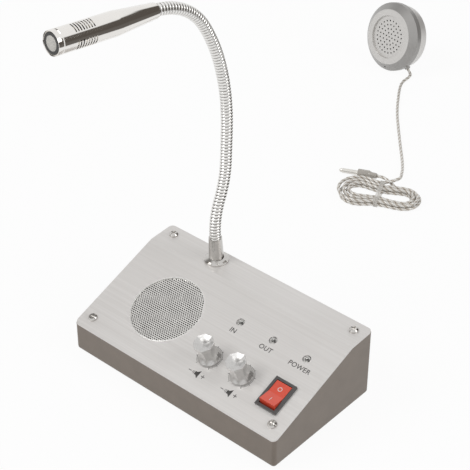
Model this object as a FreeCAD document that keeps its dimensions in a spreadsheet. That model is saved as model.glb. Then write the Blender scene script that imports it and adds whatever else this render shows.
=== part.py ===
import FreeCAD, Part
import math
import os
import re
import Sketcher

# A window intercom: a desk console with a speaker and a microphone on a gooseneck,
# and a small round unit for the far side of the glass, on a hank of cord.
# Millimetres. X runs along the console, +Y to its back, +Z up. The origin is on the
# desk, under the middle of the console's case.

SIZES = {
    # case and top panel
    "case_width": 160.0,
    "case_depth": 87.5,
    "case_wall": 1.8,
    "case_round": 2.4,
    "front_height": 20.6,
    "bend_run": 68.5,
    "bend_height": 46.4,
    "back_height": 47.5,
    "panel_sheet": 1.0,
    "panel_round": 3.0,
    # rubber feet
    "foot_height": 2.0,
    "foot_radius": 6.0,
    "foot_inset": 13.0,
    "foot_bore_radius": 1.7,
    "foot_recess_radius": 3.2,
    "foot_recess_depth": 1.2,
    # screws
    "screw_head_radius": 2.8,
    "screw_head_height": 1.9,
    "screw_radius": 1.5,
    "screw_length": 8.0,
    "screw_slot_width": 0.8,
    "screw_slot_depth": 1.0,
    "screw_clearance": 0.2,
    "thread_gap": 0.05,
    "screw_inset": 8.3,
    "front_screw_run": 8.2,
    "back_screw_inset": 7.4,
    "boss_half_width": 3.4,
    "boss_depth": 9.5,
    # console speaker
    "speaker_left": 35.0,
    "speaker_run": 37.4,
    "grille_radius": 23.0,
    "grille_lip": 1.6,
    "grille_sheet": 0.8,
    "grille_hole_radius": 0.85,
    "grille_pitch": 2.75,
    "gasket_thick": 0.8,
    "gasket_width": 3.0,
    "basket_sheet": 1.0,
    "basket_depth": 9.5,
    "basket_waist_radius": 13.0,
    "magnet_radius": 13.5,
    "magnet_height": 7.5,
    "cone_mouth_radius": 20.0,
    "cone_throat_radius": 6.0,
    "cone_paper": 0.5,
    "cone_gap": 0.3,
    "clip_count": 3,
    "clip_reach": 3.2,
    "clip_width": 5.0,
    "clip_length": 6.4,
    "clip_sheet": 1.0,
    "clip_nut_radius": 2.6,
    "clip_nut_height": 1.8,
    # volume controls
    "knob_first_share": 0.06875,
    "knob_spacing": 24.9,
    "knob_run": 24.2,
    "pot_body_radius": 8.0,
    "pot_body_height": 7.0,
    "pot_floor": 1.0,
    "bush_radius": 3.5,
    "bush_height": 3.6,
    "shaft_radius": 2.9,
    "shaft_gap": 0.05,
    "shaft_height": 11.0,
    "pot_nut_radius": 5.4,
    "pot_nut_height": 2.0,
    "knob_radius": 7.2,
    "knob_skirt_height": 1.2,
    "knob_waist_radius": 5.7,
    "knob_waist_height": 4.6,
    "knob_height": 15.2,
    "knob_top_radius": 5.9,
    "knob_edge": 0.6,
    "knob_dish_depth": 0.7,
    "knob_desk_gap": 0.4,
    "knob_hollow_radius": 6.1,
    "knob_hollow_height": 3.6,
    "flute_count": 8,
    "flute_radius": 2.4,
    "flute_bite": 0.8,
    "pointer_width": 1.6,
    "pointer_length": 1.8,
    "pointer_depth": 0.7,
    "pointer_angle": 30.0,
    # indicator lamps
    "lamp_first_share": 0.070625,
    "lamp_spacing": 25.25,
    "lamp_run": 53.0,
    "lamp_count": 3,
    "lamp_radius": 2.5,
    "lamp_collar_radius": 2.9,
    "lamp_collar_height": 1.0,
    "lamp_length": 8.6,
    "lamp_hole_gap": 0.1,
    # circuit board
    "board_sheet": 1.6,
    "board_right_share": 0.3125,
    "board_front_run": 9.5,
    "board_main_share": 0.309375,
    "board_wing_width": 22.0,
    "board_wing_run": 41.0,
    "board_back_run": 61.5,
    "spacer_radius": 2.5,
    "spacer_run": 57.0,
    # mains of the rocker switch, standard 15 x 21 mm pattern
    "switch_share": 0.3875,
    "switch_run": 24.0,
    "switch_bezel_width": 14.9,
    "switch_bezel_length": 21.0,
    "switch_bezel_height": 1.6,
    "switch_body_width": 13.0,
    "switch_body_length": 19.2,
    "switch_body_depth": 13.5,
    "switch_cut_gap": 0.1,
    "rocker_width": 10.8,
    "rocker_half_length": 8.0,
    "rocker_side_gap": 0.3,
    "rocker_end_gap": 0.85,
    "rocker_crown": 1.9,
    "rocker_tail": 3.5,
    "rocker_tilt": 10.0,
    "rocker_pivot_depth": 0.4,
    "rocker_well": 5.2,
    "rocker_pin_radius": 1.0,
    "rocker_pin_reach": 0.75,
    "terminal_width": 4.8,
    "terminal_sheet": 0.8,
    "terminal_length": 7.5,
    "terminal_spacing": 7.0,
    # sockets in the back wall
    "inlet_across": 45.0,
    "jack_across": 20.0,
    "socket_height": 15.0,
    "inlet_radius": 4.0,
    "inlet_flange_radius": 5.6,
    "inlet_flange_height": 1.5,
    "inlet_bore_radius": 2.75,
    "inlet_bore_depth": 9.5,
    "inlet_pin_radius": 1.0,
    "inlet_length": 12.5,
    "inlet_barb_radius": 4.6,
    "inlet_barb_length": 2.0,
    "jack_radius": 3.0,
    "jack_nut_radius": 4.0,
    "jack_nut_height": 1.8,
    "jack_bore_radius": 1.8,
    "jack_bore_depth": 14.5,
    "jack_box_half": 4.0,
    "jack_box_length": 13.0,
    # gooseneck root
    "neck_left": 34.2,
    "neck_root_run": 10.4,
    "neck_flange_radius": 7.8,
    "neck_flange_height": 2.2,
    "neck_notch_width": 3.0,
    "neck_notch_depth": 1.6,
    "ferrule_radius": 4.7,
    "ferrule_top_radius": 4.15,
    "ferrule_height": 17.0,
    "ferrule_thread_radius": 3.9,
    "ferrule_thread_length": 9.0,
    "ferrule_hole_gap": 0.1,
    "lock_nut_radius": 6.9,
    "lock_nut_height": 3.0,
    # gooseneck links
    "neck_radius": 3.6,
    "neck_valley_radius": 3.25,
    "neck_bore_radius": 1.4,
    "neck_joint_gap": 0.3,
    "neck_rim_back": 1.8,
    "neck_link_length": 24.93,
    "neck_last_length": 17.54,
    "neck_rib_count": 12,
    # microphone
    "mic_length": 69.0,
    "mic_radius": 6.9,
    "mic_root_radius": 4.3,
    "mic_taper_length": 28.0,
    "mic_wall": 1.0,
    "mic_bore_start": 26.0,
    "mic_groove_back": 3.0,
    "mic_groove_width": 0.6,
    "mic_groove_depth": 0.3,
    "mic_slot_count": 8,
    "mic_slot_rows": 4,
    "mic_slot_back": 12.5,
    "mic_slot_pitch": 1.7,
    "mic_slot_width": 0.8,
    "mic_slot_length": 6.0,
    "mic_ring_inner_radius": 4.2,
    "mic_ring_depth": 2.2,
    "mic_ring_recess": 0.3,
    "mic_foam_depth": 3.0,
    "mic_foam_gap": 0.05,
    "mic_capsule_radius": 4.8,
    "mic_capsule_length": 6.0,
    "mic_holder_length": 4.0,
    # outside unit
    "unit_left": 151.0,
    "unit_behind": 371.5,
    "unit_turn": 10.0,
    "unit_radius": 27.5,
    "unit_flat_radius": 22.0,
    "unit_opening_radius": 17.3,
    "unit_chamfer_depth": 5.0,
    "unit_side_depth": 9.2,
    "unit_depth": 18.4,
    "unit_back_radius": 24.8,
    "unit_wall": 1.4,
    "unit_recess": 1.5,
    "unit_grille_lip": 1.9,
    "unit_grille_sheet": 0.7,
    "unit_hole_radius": 0.65,
    "unit_ring_step": 3.27,
    "unit_driver_radius": 18.6,
    "unit_driver_sheet": 0.9,
    "unit_cone_radius": 15.0,
    "unit_magnet_radius": 8.5,
    "unit_magnet_top": 9.6,
    "unit_magnet_height": 4.5,
    "unit_boss_count": 3,
    "unit_boss_radius": 1.9,
    "unit_boss_reach": 18.0,
    "unit_plate_sheet": 1.0,
    "unit_plate_inset": 0.9,
    "unit_spigot_length": 3.2,
    "unit_mic_hole_radius": 0.7,
    "unit_mic_turn": 8.0,
    "unit_mic_reach": 22.4,
    "unit_mic_radius": 2.0,
    "unit_mic_length": 2.6,
    "unit_mic_depth": 4.9,
    "unit_screw_head_radius": 2.0,
    "unit_screw_head_height": 1.2,
    "unit_screw_radius": 1.0,
    "unit_screw_length": 7.0,
    "grommet_angle": 50.0,
    "grommet_radius": 2.6,
    "grommet_height": 1.2,
    "grommet_stem_radius": 1.7,
    "grommet_seat_gap": 0.2,
    # cord, hank, tie and plug
    "cord_radius": 1.25,
    "cord_desk_gap": 0.03,
    "hank_left": 39.9,
    "hank_behind": 216.3,
    "hank_turn": 24.5,
    "hank_half_run": 15.2,
    "hank_left_lane": 16.7,
    "hank_left_step": 3.7,
    "hank_waist_lane": 12.3,
    "hank_waist_step": 3.35,
    "hank_right_lane": 13.4,
    "hank_right_step": 3.0,
    "hank_waist_left": 1.5,
    "hank_layer_step": 2.95,
    "hank_lift": 0.55,
    "lead_curl_run": 8.2,
    "lead_curl_radius": 9.5,
    "lead_end_run": 5.5,
    "tie_width": 3.0,
    "tie_sheet": 0.4,
    "tie_gap": 0.1,
    "tie_side_gap": 0.3,
    "plug_across": 8.0,
    "plug_beside": 23.0,
    "plug_radius": 3.2,
    "plug_length": 14.0,
    "plug_relief_length": 4.0,
    "plug_relief_radius": 1.9,
    "plug_pin_radius": 1.75,
    "plug_pin_length": 14.0,
    "plug_tip_length": 2.4,
    "plug_desk_gap": 0.05,
    # cutting tools run past the surfaces they cut by this much
    "overrun": 2.0,
}

# bend of each gooseneck link in degrees, from the ferrule to the microphone
NECK_BENDS = (-23.9, 18.1, 1.8, 8.9, 9.9, 12.55, 32.86, 21.81)
# the circles of a link's ball, in degrees from its equator
BALL_RINGS = (60, 40, 20)
# the plane of the gooseneck is turned this many degrees to the console's left
NECK_TURN = 5.0
# turns of the hank: passes along a side in each layer, from the outside inwards
HANK_LANES = 6
HANK_LAYERS = 2
# ring of holes in the outside unit's grille: how many in each ring from the middle
UNIT_RING_HOLES = (1, 6, 12, 18, 24)

doc = FreeCAD.newDocument("window_intercom")
sheet = doc.addObject("Spreadsheet::Sheet", "Sizes")
for row, (alias, number) in enumerate(SIZES.items(), 1):
    sheet.set("A%d" % row, alias)
    sheet.set("B%d" % row, str(number))
    sheet.setAlias("B%d" % row, alias)
doc.recompute()

NODES = []


def size(alias):
    """A driving size, read from the sheet."""
    return float(sheet.get(alias))


def formula(text):
    """A formula on the sheet's names, which all hold an underscore or are overrun."""
    return re.sub(r"\b(?:[a-z]+(?:_[a-z]+)+|overrun)\b", lambda found: "Sizes." + found.group(), text)


def bind(thing, **formulas):
    for name, text in formulas.items():
        thing.setExpression(name, formula(text))
    return thing


def at(across="0", along="0", up="0", yaw="0", pitch="0", roll="0"):
    """A placement as a formula."""
    return "placement(vector(%s; %s; %s); rotation(%s; %s; %s))" % (across, along, up, yaw, pitch, roll)


# the frames that pieces are built in: across, up the slope and out of the sheet
SLOPE = "atan2(bend_height - front_height; bend_run)"
STRIP_SLOPE = "atan2(back_height - bend_height; case_depth - bend_run)"
SLOPE_DROP = "panel_sheet / cos(%s)" % SLOPE
STRIP_UNDER = "%s * cos(%s)" % (SLOPE_DROP, STRIP_SLOPE)
PANEL = at("0", "-case_depth / 2", "foot_height + front_height", roll=SLOPE)
STRIP = at("0", "bend_run - case_depth / 2", "foot_height + bend_height", roll=STRIP_SLOPE)
BACK = at("0", "case_depth / 2", "foot_height", roll="-90")
CASE = at("-case_width / 2", "-case_depth / 2", "foot_height")
LEAN = "atan2(unit_radius - unit_back_radius; unit_depth - unit_side_depth)"
UNIT = at("-unit_left", "unit_behind", "unit_side_depth * sin(%s) + unit_radius * cos(%s)" % (LEAN, LEAN),
          "-unit_turn", "0", "atan2(unit_depth - unit_side_depth; unit_radius - unit_back_radius)")
HANK = at("-hank_left", "hank_behind", "0", "hank_turn")


def cylinder(name, radius, height, place=at()):
    return bind(doc.addObject("Part::Cylinder", name), Radius=radius, Height=height, Placement=place)


def cone(name, low_radius, high_radius, height, place=at()):
    piece = doc.addObject("Part::Cone", name)
    return bind(piece, Radius1=low_radius, Radius2=high_radius, Height=height, Placement=place)


def block(name, length, width, height, place=at()):
    return bind(doc.addObject("Part::Box", name), Length=length, Width=width, Height=height, Placement=place)


def middle_block(name, length, width, height, across="0", along="0", up="0"):
    """A block centred across and along, standing on the height given."""
    corner = at("(%s) - (%s) / 2" % (across, length), "(%s) - (%s) / 2" % (along, width), up)
    return block(name, length, width, height, corner)


def hexagon(name, radius, height, place=at()):
    piece = doc.addObject("Part::Prism", name)
    piece.Polygon = 6
    return bind(piece, Circumradius=radius, Height=height, Placement=place)


def joined(name, *pieces):
    piece = doc.addObject("Part::MultiFuse", name)
    piece.Shapes = list(pieces)
    return piece


def cut(name, base, *tools):
    piece = doc.addObject("Part::Cut", name)
    piece.Base = base
    piece.Tool = tools[0] if len(tools) == 1 else joined(name + "_tools", *tools)
    return piece


def grouped(name, *pieces):
    """Like pieces that share a node and stay separate solids."""
    piece = doc.addObject("Part::Compound", name)
    piece.Links = list(pieces)
    return piece


def drawn(body, name, plane, outline):
    """A closed sketch on one of the body's own planes, each corner tied to the sheet."""
    sketch = body.newObject("Sketcher::SketchObject", name)
    own_plane = [item for item in body.Origin.OriginFeatures if item.Role == plane][0]
    sketch.AttachmentSupport = [(own_plane, "")]
    sketch.MapMode = "FlatFace"
    ruler = doc.addObject("Part::Vertex", "ruler")
    corners = []
    for first, second in outline:
        bind(ruler, X=first, Y=second)
        ruler.recompute()
        corners.append(FreeCAD.Vector(ruler.X.Value, ruler.Y.Value, 0))
    doc.removeObject(ruler.Name)
    count = len(corners)
    for index, corner in enumerate(corners):
        sketch.addGeometry(Part.LineSegment(corner, corners[(index + 1) % count]))
    for index in range(count):
        sketch.addConstraint(Sketcher.Constraint("Coincident", index, 2, (index + 1) % count, 1))
    for index, corner in enumerate(corners):
        for kind, place, text in (("DistanceX", corner.x, outline[index][0]),
                                  ("DistanceY", corner.y, outline[index][1])):
            number = sketch.addConstraint(Sketcher.Constraint(kind, -1, 1, index, 1, place))
            sketch.setExpression("Constraints[%d]" % number, formula(text))
    return sketch


def turned(name, outline, place=at()):
    """A piece turned about its own Z: the outline gives radius and height."""
    body = doc.addObject("PartDesign::Body", name)
    sketch = drawn(body, name + "_profile", "XZ_Plane", outline)
    turn = body.newObject("PartDesign::Revolution", name + "_turn")
    turn.Profile = sketch
    turn.ReferenceAxis = (sketch, ["V_Axis"])
    turn.Angle = 360
    sketch.Visibility = False
    return bind(body, Placement=place)


def side_drawn(name, outline, width, place):
    """A piece drawn from the side (along, up) and padded across."""
    body = doc.addObject("PartDesign::Body", name)
    sketch = drawn(body, name + "_side", "YZ_Plane", outline)
    pad = body.newObject("PartDesign::Pad", name + "_pad")
    pad.Profile = sketch
    bind(pad, Length=width)
    return bind(body, Placement=place), pad


def rounded(body, pad, radius, wanted):
    """Rounds the edges of the pad that the test picks."""
    doc.recompute()
    names = ["Edge%d" % (index + 1) for index, edge in enumerate(pad.Shape.Edges) if wanted(edge)]
    fillet = body.newObject("PartDesign::Fillet", body.Name + "_round")
    fillet.Base = (pad, names)
    bind(fillet, Radius=radius)
    return body


def node(piece, frame=None):
    """Sets the piece in its frame and keeps it as a node of its own."""
    if frame:
        bind(piece, Placement=frame)
    NODES.append(piece)
    return piece


def stands(edge):
    low, high = edge.Vertexes[0].Point, edge.Vertexes[-1].Point
    return abs(low.x - high.x) + abs(low.y - high.y) < 1e-6


def pan_screw(name, place, head_radius="screw_head_radius", head_height="screw_head_height",
              radius="screw_radius", length="screw_length"):
    """A pan-head screw whose head stands on the height zero, with a cross recess."""
    head = turned(name + "_head", [
        ("0", "-(%s)" % length), (radius, "-(%s)" % length), (radius, "0"), (head_radius, "0"),
        (head_radius, "(%s) * 0.5" % head_height), ("(%s) * 0.72" % head_radius, head_height), ("0", head_height)])
    slot_up = "(%s) * 0.55" % head_height
    slot_long = "(%s) * 1.3" % head_radius
    first = middle_block(name + "_slot", slot_long, "screw_slot_width", head_height, up=slot_up)
    second = middle_block(name + "_cross", "screw_slot_width", slot_long, head_height, up=slot_up)
    return bind(cut(name, head, first, second), Placement=place)


# Case: a folded tray of painted sheet, open at the top, with a block in each corner
# that takes a panel screw.
outer_outline = [("0", "0"), ("case_depth", "0"), ("case_depth", "back_height - " + SLOPE_DROP),
                 ("bend_run", "bend_height - " + SLOPE_DROP), ("0", "front_height - " + SLOPE_DROP)]
tray_body, tray_pad = side_drawn("tray", outer_outline, "case_width", CASE)
tray = rounded(tray_body, tray_pad, "case_round", lambda edge: stands(edge) or (
    abs(edge.Vertexes[0].Point.z) + abs(edge.Vertexes[-1].Point.z) < 1e-6))
inner_outline = [("case_wall", "case_wall"), ("case_depth - case_wall", "case_wall"),
                 ("case_depth - case_wall", "back_height + overrun"), ("case_wall", "back_height + overrun")]
inner, inner_pad = side_drawn("tray_inside", inner_outline, "case_width - case_wall * 2",
                              at("case_wall - case_width / 2", "-case_depth / 2", "foot_height"))
corner_blocks = []
for side in ("-", ""):
    edge_across = "%s(case_width / 2 - screw_inset / 2 + boss_half_width / 2)" % side
    for label, frame, run in (("front", PANEL, "front_screw_run"),
                              ("back", STRIP, "case_depth - bend_run - back_screw_inset")):
        low = "-boss_depth - panel_sheet"
        corner_blocks.append(bind(
            middle_block(label + "_boss", "screw_inset + boss_half_width", "boss_half_width * 2",
                         "boss_depth + panel_sheet + overrun"),
            Placement=frame + " * " + at("%s - (screw_inset + boss_half_width) / 2" % edge_across,
                                         run + " - boss_half_width", low)))
tray_room = cut("tray_room", inner, *corner_blocks)


def panel_screw_places(up):
    """The four panel screws, two on the slope and two on the strip along the back."""
    places = []
    for side in ("-", ""):
        across = "%s(case_width / 2 - screw_inset)" % side
        places.append(PANEL + " * " + at(across, "front_screw_run", up))
        places.append(STRIP + " * " + at(across, "case_depth - bend_run - back_screw_inset", up))
    return places


tray_holes = [cylinder("pilot", "screw_radius + thread_gap", "screw_length + overrun", place)
              for place in panel_screw_places("-screw_length - thread_gap")]
foot_places = [("%s(case_width / 2 - foot_inset)" % side, "%s(case_depth / 2 - foot_inset)" % end)
               for side in ("-", "") for end in ("-", "")]
for across, along in foot_places:
    tray_holes.append(cylinder("foot_hole", "screw_radius + thread_gap", "case_wall + overrun * 2",
                               at(across, along, "foot_height - overrun")))
for across, radius in (("inlet_across", "inlet_radius"), ("jack_across", "jack_radius")):
    tray_holes.append(cylinder("socket_hole", radius + " + thread_gap", "case_wall + overrun * 2",
                               BACK + " * " + at(across, "-socket_height", "-case_wall - overrun")))
node(cut("base_case", tray, tray_room, *tray_holes))

# Feet: turned rubber feet, each on a screw through the floor of the case.
foot_outline = [("foot_bore_radius", "foot_recess_depth"), ("foot_recess_radius", "foot_recess_depth"),
                ("foot_recess_radius", "0"), ("foot_radius - foot_recess_depth / 2", "0"),
                ("foot_radius", "foot_recess_depth / 2"), ("foot_radius", "foot_height"),
                ("foot_bore_radius", "foot_height")]
node(grouped("rubber_feet", *[turned("foot", foot_outline, at(across, along)) for across, along in foot_places]))
node(grouped("foot_screws", *[
    pan_screw("foot_screw", at(across, along, "foot_recess_depth", roll="180"),
              head_height="foot_recess_depth * 0.75", length="foot_height - foot_recess_depth + case_wall * 2")
    for across, along in foot_places]))

# Top panel: one sheet of brushed aluminium, bent once, that closes the case.
panel_outline = [("0", "front_height"), ("0", "front_height - " + SLOPE_DROP),
                 ("bend_run", "bend_height - " + SLOPE_DROP), ("case_depth", "back_height - " + SLOPE_DROP),
                 ("case_depth", "back_height"), ("bend_run", "bend_height")]
sheet_metal, sheet_pad = side_drawn("panel_sheet_metal", panel_outline, "case_width", CASE)
plan_body, plan_pad = side_drawn("panel_plan", [
    ("0", "0"), ("case_depth", "0"), ("case_depth", "back_height + overrun"), ("0", "back_height + overrun")],
    "case_width", CASE)
plan = rounded(plan_body, plan_pad, "panel_round", stands)


def through(name, radius, frame, across, run):
    return cylinder(name, radius, "panel_sheet + overrun * 2",
                    frame + " * " + at(across, run, "-panel_sheet - overrun"))


knob_places = ["case_width * knob_first_share + knob_spacing * %d" % index for index in range(2)]
lamp_places = ["case_width * lamp_first_share + lamp_spacing * %d" % index for index in range(int(size("lamp_count")))]
panel_holes = [cylinder("panel_screw_hole", "screw_radius + screw_clearance", "panel_sheet + overrun * 2", place)
               for place in panel_screw_places("-panel_sheet - overrun")]
panel_holes.append(through("speaker_hole", "grille_radius", PANEL, "-speaker_left", "speaker_run"))
panel_holes.append(through("neck_hole", "ferrule_thread_radius + ferrule_hole_gap", STRIP,
                           "-neck_left", "neck_root_run"))
for across in knob_places:
    panel_holes.append(through("knob_hole", "bush_radius + shaft_gap", PANEL, across, "knob_run"))
for across in lamp_places:
    panel_holes.append(through("lamp_hole", "lamp_radius + lamp_hole_gap", PANEL, across, "lamp_run"))
panel_holes.append(bind(
    middle_block("switch_hole", "switch_body_width + switch_cut_gap * 2",
                 "switch_body_length + switch_cut_gap * 2", "panel_sheet + overrun * 2"),
    Placement=PANEL + " * " + at("case_width * switch_share - switch_body_width / 2 - switch_cut_gap",
                                 "switch_run - switch_body_length / 2 - switch_cut_gap",
                                 "-panel_sheet - overrun")))
panel_blank = doc.addObject("Part::MultiCommon", "panel_blank")
panel_blank.Shapes = [sheet_metal, plan]
SPEAKER = PANEL + " * " + at("-speaker_left", "speaker_run", "-panel_sheet")
gasket_low = "-grille_sheet - gasket_thick"
basket_low = gasket_low + " - basket_sheet"
stud_reach = "grille_radius + grille_lip + clip_reach"
clip_spokes = [SPEAKER + " * " + at(yaw="90 + 360 / clip_count * %d" % index)
               for index in range(int(size("clip_count")))]
studs = [cylinder("stud", "screw_radius", "panel_sheet / 2 - (%s) + clip_sheet + clip_nut_height" % basket_low,
                  spoke + " * " + at(stud_reach, "0", basket_low + " - clip_sheet - clip_nut_height"))
         for spoke in clip_spokes]
node(joined("top_panel", cut("panel_holed", panel_blank, *panel_holes), *studs))
node(grouped("panel_screws", *[pan_screw("panel_screw", place) for place in panel_screw_places("0")]))


# Console speaker: a perforated grille under the panel, a foam gasket, and a driver
# held by three clips on studs welded under the panel.
def holed_disc(name, radius, sheet_thick, hole_radius, centres):
    """A perforated disc as one holed face, given its thickness."""
    axis = FreeCAD.Vector(0, 0, 1)
    wires = [Part.Wire(Part.Circle(FreeCAD.Vector(0, 0, 0), axis, radius).toShape())]
    for across, along in centres:
        hole = Part.Wire(Part.Circle(FreeCAD.Vector(across, along, 0), axis, hole_radius).toShape())
        hole.reverse()
        wires.append(hole)
    face = Part.Face(wires)
    disc = doc.addObject("Part::Feature", name)
    disc.Shape = face.extrude(FreeCAD.Vector(0, 0, sheet_thick))
    return disc


def staggered(radius, pitch):
    """Hole centres in staggered rows inside a radius."""
    row_step = pitch * math.sqrt(3) / 2
    rows = int(radius / row_step)
    centres = []
    for row in range(-rows, rows + 1):
        shift = pitch / 2 if row % 2 else 0
        count = int(radius / pitch) + 1
        for column in range(-count, count + 1):
            spot = (column * pitch + shift, row * row_step)
            if math.hypot(*spot) < radius:
                centres.append(spot)
    return centres


grille_holes = staggered(size("grille_radius") - size("grille_hole_radius") * 1.5, size("grille_pitch"))
node(holed_disc("speaker_grille", size("grille_radius") + size("grille_lip"), size("grille_sheet"),
                size("grille_hole_radius"), grille_holes),
     SPEAKER + " * " + at(up="-grille_sheet"))
print("holes in the speaker grille:", len(grille_holes))
speaker_rim = "grille_radius + grille_lip"
cone_low = basket_low + " - basket_depth"
node(turned("speaker_gasket", [
    (speaker_rim + " - gasket_width", gasket_low), (speaker_rim, gasket_low),
    (speaker_rim, "-grille_sheet"), (speaker_rim + " - gasket_width", "-grille_sheet")]), SPEAKER)
node(turned("speaker_basket", [
    (speaker_rim, gasket_low), (speaker_rim, basket_low),
    ("cone_mouth_radius + basket_sheet + cone_gap", basket_low),
    ("basket_waist_radius", cone_low), ("cone_throat_radius", cone_low),
    ("cone_throat_radius", cone_low + " + basket_sheet"),
    ("basket_waist_radius - basket_sheet", cone_low + " + basket_sheet"),
    ("cone_mouth_radius + cone_gap", basket_low), ("cone_mouth_radius + cone_gap", gasket_low)]), SPEAKER)
cone_floor = cone_low + " + basket_sheet + cone_gap"
node(turned("speaker_cone", [
    ("cone_mouth_radius", gasket_low), ("cone_mouth_radius", gasket_low + " - cone_paper"),
    ("cone_throat_radius", cone_floor), ("0", cone_floor), ("0", cone_floor + " + cone_paper"),
    ("cone_throat_radius - cone_paper", cone_floor + " + cone_paper"),
    ("cone_mouth_radius - cone_paper * 2", gasket_low)]), SPEAKER)
node(cylinder("speaker_magnet", "magnet_radius", "magnet_height"),
     SPEAKER + " * " + at(up=cone_low + " - magnet_height"))
clips = []
clip_nuts = []
for spoke in clip_spokes:
    strap = block("strap", "clip_length", "clip_width", "clip_sheet")
    eye = cylinder("strap_eye", "screw_radius + thread_gap", "clip_sheet + overrun * 2",
                   at("clip_length - clip_width / 2", "clip_width / 2", "-overrun"))
    clips.append(bind(cut("clip", strap, eye),
                      Placement=spoke + " * " + at(stud_reach + " - clip_length + clip_width / 2",
                                                   "-clip_width / 2", basket_low + " - clip_sheet")))
    nut = hexagon("nut_blank", "clip_nut_radius", "clip_nut_height")
    thread = cylinder("nut_thread", "screw_radius + thread_gap", "clip_nut_height + overrun * 2", at(up="-overrun"))
    clip_nuts.append(bind(cut("clip_nut", nut, thread),
                          Placement=spoke + " * " + at(
                              stud_reach, "0", basket_low + " - clip_sheet - clip_nut_height")))
node(grouped("speaker_clips", *clips))
node(grouped("speaker_clip_nuts", *clip_nuts))

# Volume controls: two round potentiometers under the panel, each with a bush and nut
# through it, a shaft that turns in the bush, and a fluted metal knob.
board_top = "-panel_sheet - pot_body_height"
pot_bodies = []
pot_nuts = []
for number, across in enumerate(knob_places):
    spot = PANEL + " * " + at(across, "knob_run", "0")
    shaft_low = board_top + " + pot_floor"
    pot_bodies.append(turned("pot", [
        ("0", board_top), ("pot_body_radius", board_top), ("pot_body_radius", "-panel_sheet"),
        ("bush_radius", "-panel_sheet"), ("bush_radius", "bush_height"),
        ("shaft_radius + shaft_gap", "bush_height"), ("shaft_radius + shaft_gap", shaft_low),
        ("0", shaft_low)], spot))
    nut = hexagon("pot_nut_blank", "pot_nut_radius", "pot_nut_height")
    thread = cylinder("pot_nut_thread", "bush_radius + thread_gap", "pot_nut_height + overrun * 2",
                      at(up="-overrun"))
    pot_nuts.append(bind(cut("pot_nut", nut, thread), Placement=spot))
    side_name = ("left", "right")[number]
    node(cylinder("pot_shaft_" + side_name, "shaft_radius", "shaft_height - (%s) - shaft_gap" % shaft_low),
         PANEL + " * " + at(across, "knob_run", shaft_low + " + shaft_gap"))
    knob_blank = turned("knob_blank", [
        ("knob_hollow_radius", "knob_desk_gap"), ("knob_radius", "knob_desk_gap"),
        ("knob_radius", "knob_desk_gap + knob_skirt_height"),
        ("knob_waist_radius", "knob_waist_height"), ("knob_top_radius", "knob_height - knob_edge * 2"),
        ("knob_top_radius - knob_edge", "knob_height"),
        ("knob_top_radius - knob_edge * 2", "knob_height - knob_dish_depth / 4"),
        ("0", "knob_height - knob_dish_depth"), ("0", "shaft_height + shaft_gap"),
        ("shaft_radius + shaft_gap", "shaft_height + shaft_gap"),
        ("shaft_radius + shaft_gap", "knob_desk_gap + knob_hollow_height"),
        ("knob_hollow_radius - knob_edge", "knob_desk_gap + knob_hollow_height"),
        ("knob_hollow_radius", "knob_desk_gap + knob_hollow_height - knob_edge * 2")])
    flute_reach = "knob_waist_radius + flute_radius - flute_bite"
    flutes = [cone("flute", "flute_radius * 0.6", "flute_radius", "knob_height - knob_waist_height + overrun",
                   at("(%s) * cos(%s)" % (flute_reach, turn), "(%s) * sin(%s)" % (flute_reach, turn),
                      "knob_waist_height"))
              for turn in ("360 / flute_count * %d" % index for index in range(int(size("flute_count"))))]
    pointer = bind(block("pointer", "pointer_length", "pointer_width", "knob_waist_height"),
                   Placement=at(yaw="pointer_angle") + " * " + at(
                       "knob_radius - pointer_length", "-pointer_width / 2",
                       "knob_desk_gap + knob_skirt_height + pointer_depth"))
    node(cut("volume_knob_" + side_name, knob_blank, pointer, *flutes), spot)
node(grouped("potentiometers", *pot_bodies))
node(grouped("potentiometer_nuts", *pot_nuts))

# Indicator lamps: clear round lamps whose collars stand on the circuit board.
lamps = [turned("lamp", [
    ("0", board_top), ("lamp_collar_radius", board_top), ("lamp_collar_radius", board_top + " + lamp_collar_height"),
    ("lamp_radius", board_top + " + lamp_collar_height"),
    ("lamp_radius", board_top + " + lamp_length - lamp_radius"),
    ("lamp_radius * 0.87", board_top + " + lamp_length - lamp_radius * 0.5"),
    ("lamp_radius * 0.5", board_top + " + lamp_length - lamp_radius * 0.13"),
    ("0", board_top + " + lamp_length")],
    PANEL + " * " + at(across, "lamp_run", "0")) for across in lamp_places]
node(grouped("indicator_lamps", *lamps))

# Circuit board: an L-shaped board that carries the controls and lamps, hung from two
# spacers under the panel.
board_low = board_top + " - board_sheet"
board_main = block("board_main", "case_width * board_main_share", "board_back_run - board_front_run", "board_sheet",
                   at("case_width * (board_right_share - board_main_share)", "board_front_run", board_low))
board_wing = block("board_wing", "board_wing_width", "board_back_run - board_wing_run", "board_sheet",
                   at("case_width * board_right_share", "board_wing_run", board_low))
spacer_places = ["(case_width * lamp_first_share + lamp_spacing / 2)", "(case_width * lamp_first_share + lamp_spacing * 1.5)"]
spacers = []
board_screws = []
board_holes = []
for across in spacer_places:
    place = at(across, "spacer_run", board_top)
    post = cylinder("spacer_post", "spacer_radius", "pot_body_height")
    core = cylinder("spacer_core", "screw_radius + thread_gap", "pot_body_height - panel_sheet", at(up="-overrun"))
    spacers.append(bind(cut("spacer", post, core), Placement=PANEL + " * " + place))
    board_holes.append(cylinder("board_hole", "screw_radius + screw_clearance", "board_sheet + overrun * 2",
                                at(across, "spacer_run", board_low + " - overrun")))
    board_screws.append(pan_screw("board_screw", PANEL + " * " + at(across, "spacer_run", board_low, roll="180"),
                                  length="board_sheet + pot_body_height / 3"))
node(cut("circuit_board", joined("board_blank", board_main, board_wing), *board_holes), PANEL)
node(grouped("board_spacers", *spacers))
node(grouped("board_screws", *board_screws))
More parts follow.
